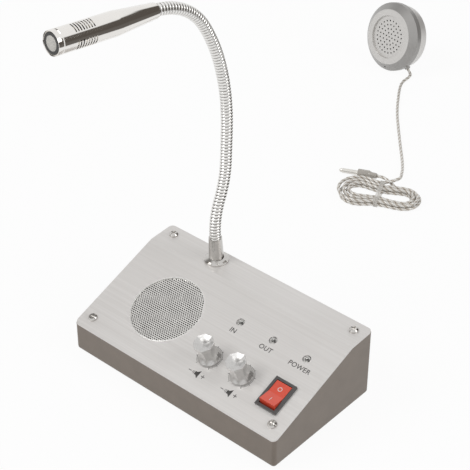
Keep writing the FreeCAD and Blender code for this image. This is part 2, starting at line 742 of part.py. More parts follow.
# Power switch: a snap-in housing with a rocker on two pins and two blade terminals.
SWITCH = PANEL + " * " + at("case_width * switch_share", "switch_run", "0")
bezel = middle_block("bezel", "switch_bezel_width", "switch_bezel_length", "switch_bezel_height")
housing = middle_block("housing", "switch_body_width", "switch_body_length", "switch_body_depth",
                       up="-switch_body_depth")
well = middle_block("well", "rocker_width + rocker_side_gap * 2",
                    "(rocker_half_length + rocker_end_gap) * 2",
                    "rocker_well + rocker_pivot_depth + switch_bezel_height + overrun",
                    up="-rocker_well - rocker_pivot_depth")
pivot_hole = cylinder("pivot_hole", "rocker_pin_radius + shaft_gap",
                      "rocker_width + (rocker_pin_reach + shaft_gap) * 2",
                      at("-rocker_width / 2 - rocker_pin_reach - shaft_gap", "0", "-rocker_pivot_depth", pitch="90"))
node(cut("switch_housing", joined("housing_blank", bezel, housing), well, pivot_hole), SWITCH)
rocker_rise = "rocker_crown + rocker_half_length * tan(rocker_tilt)"
rocker_body, rocker_pad = side_drawn("rocker_body", [
    ("-rocker_half_length", "-rocker_tail * 0.6"), ("-rocker_half_length * 0.6", "-rocker_tail"),
    ("rocker_half_length * 0.6", "-rocker_tail"), ("rocker_half_length", "-rocker_tail * 0.6"),
    ("rocker_half_length", rocker_rise), ("0", "rocker_crown"), ("-rocker_half_length", rocker_rise)],
    "rocker_width", at("-rocker_width / 2"))
pins = cylinder("rocker_pins", "rocker_pin_radius", "rocker_width + rocker_pin_reach * 2",
                at("-rocker_width / 2 - rocker_pin_reach", pitch="90"))
node(joined("switch_rocker", rocker_body, pins),
     SWITCH + " * " + at(up="-rocker_pivot_depth", roll="-rocker_tilt"))
node(grouped("switch_terminals", *[
    bind(middle_block("terminal", "terminal_width", "terminal_sheet", "terminal_length"),
         Placement=SWITCH + " * " + at("-terminal_width / 2",
                                       "terminal_spacing * (%d) / 2 - terminal_sheet / 2" % side,
                                       "-switch_body_depth - terminal_length"))
    for side in (-1, 1)]))

# Sockets in the back wall: a power inlet that snaps into its hole, and the jack for
# the outside unit's plug.
inlet_place = BACK + " * " + at("inlet_across", "-socket_height", "0")
node(turned("power_inlet", [
    ("0", "-inlet_length"), ("inlet_radius", "-inlet_length"),
    ("inlet_radius", "-case_wall - inlet_barb_length"), ("inlet_barb_radius", "-case_wall"),
    ("inlet_radius", "-case_wall"), ("inlet_radius", "0"),
    ("inlet_flange_radius", "0"), ("inlet_flange_radius", "inlet_flange_height"),
    ("inlet_bore_radius", "inlet_flange_height"), ("inlet_bore_radius", "inlet_flange_height - inlet_bore_depth"),
    ("inlet_pin_radius", "inlet_flange_height - inlet_bore_depth"), ("inlet_pin_radius", "0"), ("0", "0")]),
    inlet_place)
jack_place = BACK + " * " + at("jack_across", "-socket_height", "0")
jack_barrel = turned("jack_barrel", [
    ("jack_bore_radius", "jack_nut_height - jack_bore_depth"), ("jack_radius", "jack_nut_height - jack_bore_depth"),
    ("jack_radius", "jack_nut_height"), ("jack_bore_radius", "jack_nut_height")])
jack_box = middle_block("jack_box", "jack_box_half * 2", "jack_box_half * 2", "jack_box_length",
                        up="-case_wall - jack_box_length")
jack_room = cylinder("jack_room", "jack_bore_radius", "jack_bore_depth",
                     at(up="jack_nut_height - jack_bore_depth"))
node(joined("outside_unit_jack", jack_barrel, cut("jack_box_bored", jack_box, jack_room)), jack_place)
jack_nut_blank = cylinder("jack_nut_blank", "jack_nut_radius", "jack_nut_height")
jack_nut_thread = cylinder("jack_nut_thread", "jack_radius + thread_gap", "jack_nut_height + overrun * 2",
                           at(up="-overrun"))
node(cut("jack_nut", jack_nut_blank, jack_nut_thread), jack_place)

# Gooseneck root: a notched flange round a tapered ferrule, drawn down on the panel by
# a nut under it. The ferrule ends in a cup that takes the first link's ball.
ROOT = STRIP + " * " + at("-neck_left", "neck_root_run", "0")
pivot_up = "neck_flange_height + ferrule_height"
flange = turned("flange_blank", [
    ("ferrule_radius + thread_gap", "0"), ("neck_flange_radius", "0"),
    ("neck_flange_radius", "neck_flange_height * 0.45"),
    ("ferrule_radius + thread_gap", "neck_flange_height")])
notches = [bind(middle_block("notch", "neck_flange_radius", "neck_notch_width", "neck_flange_height + overrun"),
                Placement=at(yaw="%d" % turn) + " * " + at("neck_flange_radius - neck_notch_depth",
                                                         "-neck_notch_width / 2", "neck_flange_height * 0.3"))
           for turn in (0, 90, 180, 270)]
node(cut("neck_flange", flange, *notches), ROOT)
ferrule_blank = turned("ferrule_blank", [
    ("neck_bore_radius", "-ferrule_thread_length"), ("ferrule_thread_radius", "-ferrule_thread_length"),
    ("ferrule_thread_radius", "0"), ("ferrule_radius", "0"), ("ferrule_radius", "neck_flange_height"),
    ("ferrule_top_radius", pivot_up + " - neck_rim_back"), ("neck_bore_radius", pivot_up + " - neck_rim_back")])
cup = bind(doc.addObject("Part::Sphere", "ferrule_cup"), Radius="neck_radius + neck_joint_gap",
           Placement=at(up=pivot_up))
ferrule = node(cut("neck_ferrule", ferrule_blank, cup), ROOT)
neck_nut = hexagon("neck_nut_blank", "lock_nut_radius", "lock_nut_height")
neck_thread = cylinder("neck_nut_thread", "ferrule_thread_radius + thread_gap", "lock_nut_height + overrun * 2",
                       at(up="-overrun"))
node(cut("neck_lock_nut", neck_nut, neck_thread), ROOT + " * " + at(up="-(%s) - lock_nut_height" % STRIP_UNDER))
doc.recompute()


# Gooseneck links: ribbed tubes bent to the neck's rest curve. Each starts in a ball,
# ends in a cup for the next ball, and is bored for the microphone's wires.
class Bend:
    """An arc of the neck: where it starts, which way it points, and how it turns."""

    def __init__(self, start, ahead, axis, length, turn):
        self.start, self.ahead, self.axis = start, ahead, axis
        self.length, self.turn = length, turn
        self.centre = start + axis.cross(ahead) * (length / math.radians(turn))

    def at(self, share):
        """Place and direction at a share of the length; beyond its ends it runs straight."""
        inside = min(max(share, 0), 1)
        spin = FreeCAD.Rotation(self.axis, self.turn * inside)
        ahead = spin.multVec(self.ahead)
        place = self.centre + spin.multVec(self.start - self.centre)
        return place + ahead * (self.length * (share - inside)), ahead

    def ring(self, share, radius):
        """A circle square to the arc, its X axis steady along the bend axis."""
        place, ahead = self.at(share)
        circle = Part.makeCircle(radius)
        circle.Placement = FreeCAD.Placement(place, FreeCAD.Rotation(self.axis, ahead.cross(self.axis), ahead, "ZXY"))
        return Part.Wire([circle])


def neck_link(bend, has_cup):
    """A solid ribbed link: a ruled loft through the ball, then four circles for each rib."""
    crest, valley = size("neck_radius"), size("neck_valley_radius")
    ribs = round(size("neck_rib_count") * bend.length / size("neck_link_length"))
    end_share = 1 - size("neck_rim_back") / bend.length if has_cup else 1
    rings = []
    for degrees in BALL_RINGS:
        tilt = math.radians(degrees)
        rings.append(bend.ring(-crest * math.sin(tilt) / bend.length, crest * math.cos(tilt)))
    for rib in range(ribs):
        for step, radius in ((0, crest), (0.4, crest), (0.55, valley), (0.85, valley)):
            rings.append(bend.ring((rib + step) / ribs * end_share, radius))
    rings.append(bend.ring(end_share, crest))
    link = Part.makeLoft(rings, True, True)
    bore_reach = size("neck_radius") * 2 / bend.length
    bore_shares = [-bore_reach] + [index / 8 for index in range(9)] + [1 + bore_reach]
    bore = Part.makeLoft([bend.ring(share, size("neck_bore_radius")) for share in bore_shares], True, True)
    link = link.cut(bore)
    if has_cup:
        end, ahead = bend.at(1)
        link = link.cut(Part.makeSphere(crest + size("neck_joint_gap"), end, ahead))
    return link


root_place = ferrule.Placement
here = root_place.multVec(FreeCAD.Vector(0, 0, size("neck_flange_height") + size("ferrule_height")))
ahead = root_place.Rotation.multVec(FreeCAD.Vector(0, 0, 1))
towards = FreeCAD.Vector(-math.sin(math.radians(NECK_TURN)), -math.cos(math.radians(NECK_TURN)), 0)
bend_axis = ahead.cross(towards)
bend_axis.normalize()
for number, turn in enumerate(NECK_BENDS, 1):
    length = size("neck_link_length" if number < len(NECK_BENDS) else "neck_last_length")
    bend = Bend(here, ahead, bend_axis, length, turn)
    side_axis = ahead.cross(bend_axis)
    print("neck pivot %d at %.3f %.3f %.3f, bend axis %.5f %.5f %.5f, side axis %.5f %.5f %.5f" % (
        (number,) + tuple(here) + tuple(bend_axis) + tuple(side_axis)))
    link = doc.addObject("Part::Feature", "neck_link_%d" % number)
    link.Shape = neck_link(bend, number < len(NECK_BENDS))
    NODES.append(link)
    here, ahead = bend.at(1)
print("microphone root at %.3f %.3f %.3f, pointing %.5f %.5f %.5f" % (tuple(here) + tuple(ahead)))

# Microphone: a tapered chromed barrel with groups of vent slots, closed by a black ring
# round the foam, with the capsule in a rubber holder behind it.
mic_place = FreeCAD.Placement(here, FreeCAD.Rotation(bend_axis, ahead.cross(bend_axis), ahead, "ZXY"))
mic_inner = "(mic_radius - mic_wall)"
groove = "mic_length - mic_groove_back"
barrel_blank = turned("barrel_blank", [
    ("neck_bore_radius", "0"), ("mic_root_radius", "0"), ("mic_radius", "mic_taper_length"),
    ("mic_radius", groove + " - mic_groove_width"),
    ("mic_radius - mic_groove_depth", groove + " - mic_groove_width"),
    ("mic_radius - mic_groove_depth", groove), ("mic_radius", groove),
    ("mic_radius", "mic_length - mic_groove_depth"), ("mic_radius - mic_groove_depth", "mic_length"),
    (mic_inner, "mic_length"), (mic_inner, "mic_bore_start"), ("neck_bore_radius", "mic_bore_start")])
slots = []
for row in range(int(size("mic_slot_rows"))):
    for index in range(int(size("mic_slot_count"))):
        slots.append(bind(
            block("slot", "mic_wall * 4", "mic_slot_length", "mic_slot_width"),
            Placement=at(yaw="45 + 360 / mic_slot_rows * %d" % row) + " * " + at(
                "mic_radius - mic_wall * 1.5", "-mic_slot_length / 2",
                "mic_length - mic_slot_back - mic_slot_pitch * %d" % index)))
ring_top = "mic_length - mic_ring_recess"
ring_low = ring_top + " - mic_ring_depth"
mic_pieces = [cut("mic_barrel", barrel_blank, *slots)]
mic_pieces.append(turned("mic_front_ring", [
    ("mic_ring_inner_radius", ring_low), (mic_inner, ring_low), (mic_inner, ring_top),
    ("mic_ring_inner_radius", ring_top)]))
foam_low = ring_top + " - mic_foam_depth"
mic_pieces.append(turned("mic_foam", [
    ("0", foam_low), (mic_inner, foam_low), (mic_inner, ring_low),
    ("mic_ring_inner_radius - mic_foam_gap", ring_low), ("mic_ring_inner_radius - mic_foam_gap", ring_top),
    ("mic_ring_inner_radius * 0.7", ring_top + " + mic_foam_gap * 5"), ("0", ring_top + " + mic_foam_gap * 7")]))
capsule_low = foam_low + " - mic_capsule_length"
mic_pieces.append(turned("mic_capsule", [
    ("0", capsule_low), ("mic_capsule_radius", capsule_low), ("mic_capsule_radius", foam_low), ("0", foam_low)]))
mic_pieces.append(turned("mic_capsule_holder", [
    ("mic_capsule_radius", foam_low + " - mic_holder_length - mic_foam_gap"),
    (mic_inner, foam_low + " - mic_holder_length - mic_foam_gap"),
    (mic_inner, foam_low), ("mic_capsule_radius", foam_low)]))
for piece in mic_pieces:
    piece.setExpression("Placement", None)
    piece.Placement = mic_place
    NODES.append(piece)

# Outside unit: a turned front shell over a perforated plate, a tapered rear housing that
# it leans back on, and a driver and a small microphone capsule inside.
shell_inner = "unit_radius - unit_wall"
grille_rim = "unit_opening_radius + unit_grille_lip"
shell_blank = turned("unit_shell_blank", [
    ("unit_opening_radius", "0"), ("unit_flat_radius", "0"), ("unit_radius", "-unit_chamfer_depth"),
    ("unit_radius", "-unit_side_depth"), (shell_inner, "-unit_side_depth"),
    (shell_inner, "-unit_chamfer_depth - unit_wall / 2"),
    ("unit_flat_radius - unit_wall / 2", "-unit_wall"),
    ("unit_opening_radius + unit_wall", "-unit_wall"), ("unit_opening_radius + unit_wall", "-unit_recess"),
    ("unit_opening_radius", "-unit_recess")])
mic_hole = cylinder("unit_mic_hole", "unit_mic_hole_radius", "unit_depth",
                    at(yaw="unit_mic_turn") + " * " + at(
                        "0", "-(unit_flat_radius + unit_radius) / 2", "-unit_side_depth"))
node(cut("unit_front_shell", shell_blank, mic_hole), UNIT)
unit_holes = []
for ring, count in enumerate(UNIT_RING_HOLES):
    for index in range(count):
        turn = 2 * math.pi * index / count
        reach = size("unit_ring_step") * ring
        unit_holes.append((reach * math.cos(turn), reach * math.sin(turn)))
node(holed_disc("unit_grille", size("unit_opening_radius") + size("unit_grille_lip"), size("unit_grille_sheet"),
                size("unit_hole_radius"), unit_holes),
     UNIT + " * " + at(up="-unit_recess - unit_grille_sheet"))
driver_top = "-unit_recess - unit_grille_sheet"
driver_low = driver_top + " - unit_driver_sheet"
magnet_up = "-unit_magnet_top"
node(turned("unit_driver_frame", [
    ("unit_driver_radius", driver_top), ("unit_driver_radius", driver_low),
    ("unit_cone_radius + unit_driver_sheet", driver_low), ("unit_magnet_radius", magnet_up), ("0", magnet_up),
    ("0", magnet_up + " + unit_driver_sheet"),
    ("unit_magnet_radius - unit_driver_sheet", magnet_up + " + unit_driver_sheet"),
    ("unit_cone_radius", driver_low), ("unit_cone_radius", driver_top)]), UNIT)
cone_rest = magnet_up + " + unit_driver_sheet + cone_gap"
node(turned("unit_driver_cone", [
    ("unit_cone_radius - cone_gap", driver_top), ("unit_cone_radius - cone_gap", driver_top + " - cone_paper"),
    ("unit_magnet_radius / 2", cone_rest), ("0", cone_rest), ("0", cone_rest + " + cone_paper"),
    ("unit_magnet_radius / 2 - cone_paper", cone_rest + " + cone_paper"),
    ("unit_cone_radius - cone_gap - cone_paper * 2", driver_top)]), UNIT)
node(cylinder("unit_magnet", "unit_magnet_radius", "unit_magnet_height"),
     UNIT + " * " + at(up=magnet_up + " - unit_magnet_height"))
node(cylinder("unit_mic_capsule", "unit_mic_radius", "unit_mic_length"),
     UNIT + " * " + at(yaw="unit_mic_turn") + " * " + at(
         "0", "-unit_mic_reach", "-unit_mic_depth - unit_mic_length"))
housing_blank = turned("unit_housing_blank", [
    ("unit_radius", "-unit_side_depth"), ("unit_back_radius", "-unit_depth"),
    ("unit_back_radius - unit_wall - unit_plate_inset", "-unit_depth"),
    ("unit_radius - unit_wall * 2 - thread_gap", "-unit_side_depth"),
    ("unit_radius - unit_wall * 2 - thread_gap", "-unit_side_depth + unit_spigot_length"),
    (shell_inner + " - thread_gap", "-unit_side_depth + unit_spigot_length"),
    (shell_inner + " - thread_gap", "-unit_side_depth")])
boss_turns = ["90 + 360 / unit_boss_count * %d" % index for index in range(int(size("unit_boss_count")))]
bosses = []
boss_cores = []
unit_screws = []
plate_holes = []
for turn in boss_turns:
    spoke = at(yaw=turn) + " * "
    bosses.append(cylinder("unit_boss", "unit_boss_radius", "unit_depth + (%s)" % driver_low,
                           spoke + at("unit_boss_reach", "0", "-unit_depth")))
    web = block("unit_boss_web", "unit_back_radius - unit_wall - unit_boss_reach", "unit_wall", "unit_wall * 2",
                spoke + at("unit_boss_reach", "-unit_wall / 2", "-unit_depth"))
    bosses.append(web)
    boss_cores.append(cylinder("unit_boss_core", "unit_screw_radius + thread_gap", "unit_screw_length + overrun",
                               spoke + at("unit_boss_reach", "0", "-unit_depth - overrun")))
    plate_holes.append(cylinder("plate_hole", "unit_screw_radius + screw_clearance / 2",
                                "unit_plate_sheet + overrun * 2",
                                spoke + at("unit_boss_reach", "0", "-overrun")))
    unit_screws.append(pan_screw("unit_screw", UNIT + " * " + spoke + at(
        "unit_boss_reach", "0", "-unit_depth - unit_plate_sheet", roll="180"),
        "unit_screw_head_radius", "unit_screw_head_height", "unit_screw_radius", "unit_screw_length"))
grommet_radius = "(unit_radius + unit_back_radius) / 2"
grommet_up = "-(unit_side_depth + unit_depth) / 2"
grommet_local = at("(%s) * cos(grommet_angle)" % grommet_radius, "-(%s) * sin(grommet_angle)" % grommet_radius,
                   grommet_up, "-grommet_angle",
                   "atan2(unit_depth - unit_side_depth; unit_back_radius - unit_radius)")
grommet_hole = cylinder("grommet_hole", "grommet_stem_radius + thread_gap", "unit_wall * 4",
                        grommet_local + " * " + at(up="-unit_wall * 3"))
node(cut("unit_rear_housing", joined("housing_with_bosses", housing_blank, *bosses),
         grommet_hole, *boss_cores), UNIT)
plate = cylinder("plate_blank", "unit_back_radius - unit_plate_inset", "unit_plate_sheet")
node(cut("unit_back_plate", plate, *plate_holes), UNIT + " * " + at(up="-unit_depth - unit_plate_sheet"))
node(grouped("unit_screws", *unit_screws))
grommet = node(turned("cord_grommet", [
    ("0", "-unit_wall * 1.5"), ("grommet_stem_radius", "-unit_wall * 1.5"),
    ("grommet_stem_radius", "grommet_seat_gap"), ("grommet_radius", "grommet_seat_gap"),
    ("grommet_radius * 0.8", "grommet_seat_gap + grommet_height"), ("0", "grommet_seat_gap + grommet_height")]),
    UNIT + " * " + grommet_local)
doc.recompute()


# Cord: a thin two-core lead that runs from the grommet over the desk to a tied hank,
# and a short tail from the hank to the plug that lies behind it.
def tube(path, radius, name):
    """A tube along a path, checked against its section times its length."""
    start = path.OrderedVertexes[0].Point
    ahead = path.OrderedEdges[0].tangentAt(path.OrderedEdges[0].FirstParameter)
    if path.OrderedEdges[0].Orientation == "Reversed":
        ahead = path.OrderedEdges[0].tangentAt(path.OrderedEdges[0].LastParameter) * -1
    ring = Part.Wire([Part.Circle(start, ahead, radius).toShape()])
    solid = path.makePipeShell([ring], True, False)
    full = math.pi * radius ** 2 * path.Length
    print("%s: length %.1f, volume %.4f of section times length" % (name, path.Length, solid.Volume / full))
    piece = doc.addObject("Part::Feature", name)
    piece.Shape = solid
    NODES.append(piece)
    return piece


def run_and_arc(points):
    """Straight runs joined by arcs as large as the shorter run allows."""
    edges = []
    radii = []
    last = points[0]
    for before, corner, after in zip(points, points[1:], points[2:]):
        back, on = before - corner, after - corner
        shorter = min(back.Length, on.Length)
        half_turn = (math.pi - back.getAngle(on)) / 2
        reach = 0.45 * shorter
        radii.append(reach / math.tan(half_turn))
        back.normalize()
        on.normalize()
        enter, leave = corner + back * reach, corner + on * reach
        inward = back + on
        inward.normalize()
        middle = corner + inward * (radii[-1] / math.cos(half_turn) - radii[-1])
        edges.append(Part.LineSegment(last, enter).toShape())
        edges.append(Part.Arc(enter, middle, leave).toShape())
        last = leave
    edges.append(Part.LineSegment(last, points[-1]).toShape())
    print("arc radii:", " ".join("%.1f" % radius for radius in radii))
    return Part.Wire(edges)


hank_place = FreeCAD.Placement(FreeCAD.Vector(-size("hank_left"), size("hank_behind"), 0),
                               FreeCAD.Rotation(FreeCAD.Vector(0, 0, 1), size("hank_turn")))
half_run = size("hank_half_run")
first_up = size("cord_radius") + size("hank_lift")
waist_along = -size("hank_waist_left")


def lane_reach(lane, where):
    """How far a lane lies from the middle line, at the hank's left end, waist or right end."""
    place = {-1: "left", 0: "waist", 1: "right"}[where]
    return size("hank_" + place + "_lane") - size("hank_" + place + "_step") / 2 * lane


def hank_knots():
    """Places and directions along the hank, from the tail's end to the lead's end."""
    lanes = list(range(HANK_LANES))
    for layer in range(1, HANK_LAYERS):
        lanes += lanes[-2::-1][:HANK_LANES - 1] if layer % 2 else list(range(1, HANK_LANES))
    knots = []
    layer = 0
    sign = 1
    for index, lane in enumerate(lanes):
        low = first_up + size("hank_layer_step") * layer
        climbs = index > 0 and lane in (0, HANK_LANES - 1) and index < len(lanes) - 1
        rise = size("hank_layer_step") if climbs else 0
        layer += 1 if climbs else 0
        along = FreeCAD.Vector(sign, 0, 0)
        slope = FreeCAD.Vector(sign, 0, rise / half_run)
        slope.normalize()
        if index > 0:
            knots.append((FreeCAD.Vector(-sign * half_run, sign * lane_reach(lane, -sign), low), along))
            knots.append((FreeCAD.Vector(waist_along, sign * lane_reach(lane, 0), low + rise / 2), slope))
        if index == len(lanes) - 1:
            break
        reach, next_reach = lane_reach(lane, sign), lane_reach(lanes[index + 1], sign)
        knots.append((FreeCAD.Vector(sign * half_run, sign * reach, low + rise), along))
        cap = (reach + next_reach) / 2
        knots.append((FreeCAD.Vector(sign * (half_run + cap), sign * (reach - next_reach) / 2, low + rise),
                      FreeCAD.Vector(0, -sign, 0)))
        sign = -sign
    return knots


def biarc(start, start_way, end, end_way):
    """Two tangent arcs between two places with given directions."""
    chord = end - start
    ways = start_way + end_way
    first = 2 * (1 - start_way.dot(end_way))
    second = 2 * chord.dot(ways)
    third = -chord.dot(chord)
    if abs(first) < 1e-9:
        reach = -third / second
    else:
        reach = (-second + math.sqrt(second ** 2 - 4 * first * third)) / (2 * first)
    joint = (start + start_way * reach + end - end_way * reach) * 0.5
    return [swing(start, start_way, joint), swing(end, end_way * -1, joint, True)]


def swing(start, way, end, backwards=False):
    """An arc, or a line where it is straight, that leaves start along way."""
    chord = end - start
    ahead = chord.dot(way)
    aside = chord - way * ahead
    if aside.Length < 1e-7:
        return Part.LineSegment(end, start).toShape() if backwards else Part.LineSegment(start, end).toShape()
    radius = chord.dot(chord) / (2 * aside.Length)
    aside.normalize()
    centre = start + aside * radius
    to_middle = (start + end) * 0.5 - centre
    if to_middle.Length < 1e-7:
        to_middle = way
    to_middle.normalize()
    middle = centre + to_middle * radius
    if chord.dot(way) < 0:
        middle = centre - to_middle * radius
    return Part.Arc(end, middle, start).toShape() if backwards else Part.Arc(start, middle, end).toShape()


knots = hank_knots()
hank_edges = []
for (start, way), (end, end_way) in zip(knots, knots[1:]):
    hank_edges += biarc(start, way, end, end_way)
lead_up = first_up + size("hank_layer_step") * (HANK_LAYERS - 1)
lead_turn = math.asin(size("lead_curl_run") / size("lead_curl_radius"))
lead_way = FreeCAD.Vector(math.cos(lead_turn), math.sin(lead_turn), 0)
lead_start = FreeCAD.Vector(waist_along + size("lead_curl_run"),
                            lane_reach(0, 0) + size("lead_curl_radius") * (1 - math.cos(lead_turn)), lead_up)
hank_edges.append(swing(knots[-1][0], knots[-1][1], lead_start))
hank_path = Part.Wire(hank_edges)
hank_path.Placement = hank_place
tube(hank_path, size("cord_radius"), "cord_hank")


def least_gap(path, radius):
    """The least gap between turns, measured on points along the path."""
    count = int(path.Length / radius)
    spots = path.discretize(Number=count)
    apart = int(half_run)
    least = min((spots[one] - spots[two]).Length
                for one in range(0, count, 2) for two in range(one + apart, count))
    return least - 2 * radius


print("least gap of the hank to itself: %.2f" % least_gap(hank_path, size("cord_radius")))

# The lead on the desk, from the outside unit to the hank: its points are chosen by
# hand, with their lift over the desk.
LEAD_ROUTE = [(-127.4, 373.6, 0.3), (-126.6, 368.4, 0), (-126.4, 361.8, 0), (-123.6, 354.4, 0),
              (-119.2, 346.6, 0), (-113.2, 337.2, 0), (-105.1, 324.9, 0), (-96.1, 312.8, 0),
              (-86.9, 301.5, 0), (-77.8, 290.5, 0), (-68.9, 279.7, 0), (-60.6, 270.0, 0),
              (-53.8, 261.6, 0.4), (-48.2, 253.8, 1.6), (-43.6, 246.2, 2.8)]
grommet_place = grommet.Placement
exit_way = grommet_place.Rotation.multVec(FreeCAD.Vector(0, 0, 1))
exit_spot = grommet_place.multVec(FreeCAD.Vector(0, 0, size("grommet_seat_gap") + size("grommet_height")))
print("cord exit at %.2f %.2f %.2f, pointing %.3f %.3f %.3f" % (tuple(exit_spot) + tuple(exit_way)))
hank_end = hank_place.multVec(lead_start)
hank_way = hank_place.Rotation.multVec(lead_way)
print("lead joins the hank at %.2f %.2f %.2f, pointing %.3f %.3f %.3f" % (tuple(hank_end) + tuple(hank_way)))
first_run = size("cord_radius") * 3.2
lead_points = [exit_spot, exit_spot + exit_way * first_run]
on_desk = size("cord_radius") + size("cord_desk_gap")
lead_points += [FreeCAD.Vector(across, along, on_desk + lift) for across, along, lift in LEAD_ROUTE]
lead_points += [hank_end + hank_way * size("lead_end_run"), hank_end]
tube(run_and_arc(lead_points), size("cord_radius"), "cord_lead")

# tail and plug
plug_up = size("plug_radius") + size("plug_desk_gap")
plug_spot = FreeCAD.Vector(-size("plug_across"), size("plug_beside"), plug_up)
tail_end = FreeCAD.Vector(half_run, lane_reach(0, 1), first_up)
tail_points = [plug_spot, plug_spot + FreeCAD.Vector(4.8, 0, 0), FreeCAD.Vector(2.0, 20.0, 2.1),
               FreeCAD.Vector(8.6, lane_reach(0, 1), first_up), tail_end]
tube(run_and_arc([hank_place.multVec(point) for point in tail_points]), size("cord_radius"), "cord_tail")
PLUG = HANK + " * " + at("-plug_across", "plug_beside", "plug_radius + plug_desk_gap", pitch="-90")
node(turned("plug_body", [
    ("0", "0"), ("plug_relief_radius", "0"), ("plug_relief_radius * 1.2", "plug_relief_length"),
    ("plug_radius", "plug_relief_length + plug_relief_radius"), ("plug_radius", "plug_length"), ("0", "plug_length")]),
    PLUG)
pin_end = "plug_length + plug_pin_length"
node(turned("plug_pin", [
    ("0", "plug_length"), ("plug_pin_radius", "plug_length"), ("plug_pin_radius", pin_end + " - plug_tip_length"),
    ("plug_pin_radius * 0.7", pin_end + " - plug_tip_length * 0.8"),
    ("plug_pin_radius * 0.9", pin_end + " - plug_tip_length * 0.5"),
    ("plug_pin_radius * 0.35", pin_end), ("0", pin_end)]), PLUG)

# Tie: a clear flat strap round the waist of the hank.
side_gap = size("cord_radius") + size("tie_side_gap")
tie_back = lane_reach(0, 0) + side_gap
tie_front = -lane_reach(1, 0) - side_gap
tie_top = lead_up + size("cord_radius") + size("tie_gap")
tie_low = size("hank_lift") - size("tie_gap")
tie_sheet = size("tie_sheet")
tie_width = size("tie_width")
outer_tie = Part.makeBox(tie_width, tie_back - tie_front + tie_sheet * 2, tie_top - tie_low + tie_sheet * 2,
                         FreeCAD.Vector(waist_along - tie_width / 2, tie_front - tie_sheet, tie_low - tie_sheet))
outer_tie = outer_tie.makeFillet(size("cord_radius"), [
    edge for edge in outer_tie.Edges if abs(edge.tangentAt(0).x) > 0.5])
inner_tie = Part.makeBox(tie_width * 2, tie_back - tie_front, tie_top - tie_low,
                         FreeCAD.Vector(waist_along - tie_width, tie_front, tie_low))
tie = doc.addObject("Part::Feature", "hank_tie")
tie.Shape = outer_tie.cut(inner_tie)
tie.Placement = hank_place
NODES.append(tie)

doc.recompute()
for thing in doc.Objects:
    if "Invalid" in thing.State or "Error" in thing.State:
        raise RuntimeError("failed object: " + thing.Label)
os.makedirs("parts", exist_ok=True)
for piece in NODES:
    if piece.Shape.isNull() or not piece.Shape.isValid() or not piece.Shape.Solids:
        raise RuntimeError("bad shape: " + piece.Label)
    piece.Shape.exportStep("parts/%s.step" % piece.Label)
print("nodes written:", len(NODES))
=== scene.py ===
import math

import bmesh
import bpy
from mathutils import Matrix, Vector
from mathutils.bvhtree import BVHTree


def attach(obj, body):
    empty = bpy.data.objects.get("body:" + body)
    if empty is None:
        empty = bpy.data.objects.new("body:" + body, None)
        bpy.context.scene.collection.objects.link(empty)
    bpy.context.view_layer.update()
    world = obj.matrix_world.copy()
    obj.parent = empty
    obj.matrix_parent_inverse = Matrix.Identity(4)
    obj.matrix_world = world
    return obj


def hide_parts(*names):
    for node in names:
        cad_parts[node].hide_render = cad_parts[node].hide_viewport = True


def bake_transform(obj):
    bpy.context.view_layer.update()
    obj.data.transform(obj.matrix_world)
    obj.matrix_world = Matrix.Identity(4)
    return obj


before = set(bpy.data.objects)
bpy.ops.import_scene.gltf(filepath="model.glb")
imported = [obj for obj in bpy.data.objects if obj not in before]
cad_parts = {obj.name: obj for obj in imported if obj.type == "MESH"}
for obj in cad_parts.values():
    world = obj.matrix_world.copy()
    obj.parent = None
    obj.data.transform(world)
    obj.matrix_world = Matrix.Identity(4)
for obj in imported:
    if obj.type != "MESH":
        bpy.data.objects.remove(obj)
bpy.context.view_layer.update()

# Camera: a long lens above the right front corner of the console, looking down
# at the desk. Its place was fitted to corners and round parts of the photograph.
azimuth, elevation, roll = math.radians(41.289), math.radians(35.56), math.radians(0.216)
camera_place = (0.457863, -0.507975, 0.591358)
right = Vector((math.cos(azimuth), math.sin(azimuth), 0))
back = Vector((math.sin(azimuth) * math.cos(elevation),
               -math.cos(azimuth) * math.cos(elevation),
               math.sin(elevation)))
up = back.cross(right)
camera = bpy.data.objects.new("camera", bpy.data.cameras.new("camera"))
camera.data.lens = 113.02
camera.data.sensor_width = 36
camera.data.clip_end = 20
axes = Matrix((right * math.cos(roll) + up * math.sin(roll),
               up * math.cos(roll) - right * math.sin(roll),
               back)).transposed()
camera.matrix_world = Matrix.Translation(camera_place) @ axes.to_4x4()
bpy.context.scene.collection.objects.link(camera)
bpy.context.scene.camera = camera
bpy.context.scene.view_settings.view_transform = "Standard"

# Cord: a thin two-core lead in clear plastic. It leaves the grommet of the outside
# unit, crosses the desk to a hank of eleven runs held by a tie, and ends in a plug.
def curve_points(name, points):
    """Points along one smooth line through the given route."""
    line = bpy.data.curves.new(name, "CURVE")
    line.dimensions = "3D"
    line.resolution_u = 8
    spline = line.splines.new("NURBS")
    spline.points.add(len(points) - 1)
    for knot, place in zip(spline.points, points):
        knot.co = (*place, 1)
    spline.order_u = 3
    spline.use_endpoint_u = True
    holder = bpy.data.objects.new(name, line)
    bpy.context.scene.collection.objects.link(holder)
    bpy.context.view_layer.update()
    mesh = bpy.data.meshes.new_from_object(holder)
    found = [vertex.co.copy() for vertex in mesh.vertices]
    bpy.data.objects.remove(holder)
    bpy.data.meshes.remove(mesh)
    bpy.data.curves.remove(line)
    return found


def evenly(points, step):
    """The same line with its points an even step apart."""
    lengths = [0.0]
    for one, two in zip(points, points[1:]):
        lengths.append(lengths[-1] + (two - one).length)
    count = max(2, round(lengths[-1] / step))
    spaced = []
    index = 0
    for number in range(count + 1):
        reach = lengths[-1] * number / count
        while index < len(points) - 2 and lengths[index + 1] < reach:
            index += 1
        part = (reach - lengths[index]) / max(lengths[index + 1] - lengths[index], 1e-9)
        spaced.append(points[index].lerp(points[index + 1], part))
    return spaced


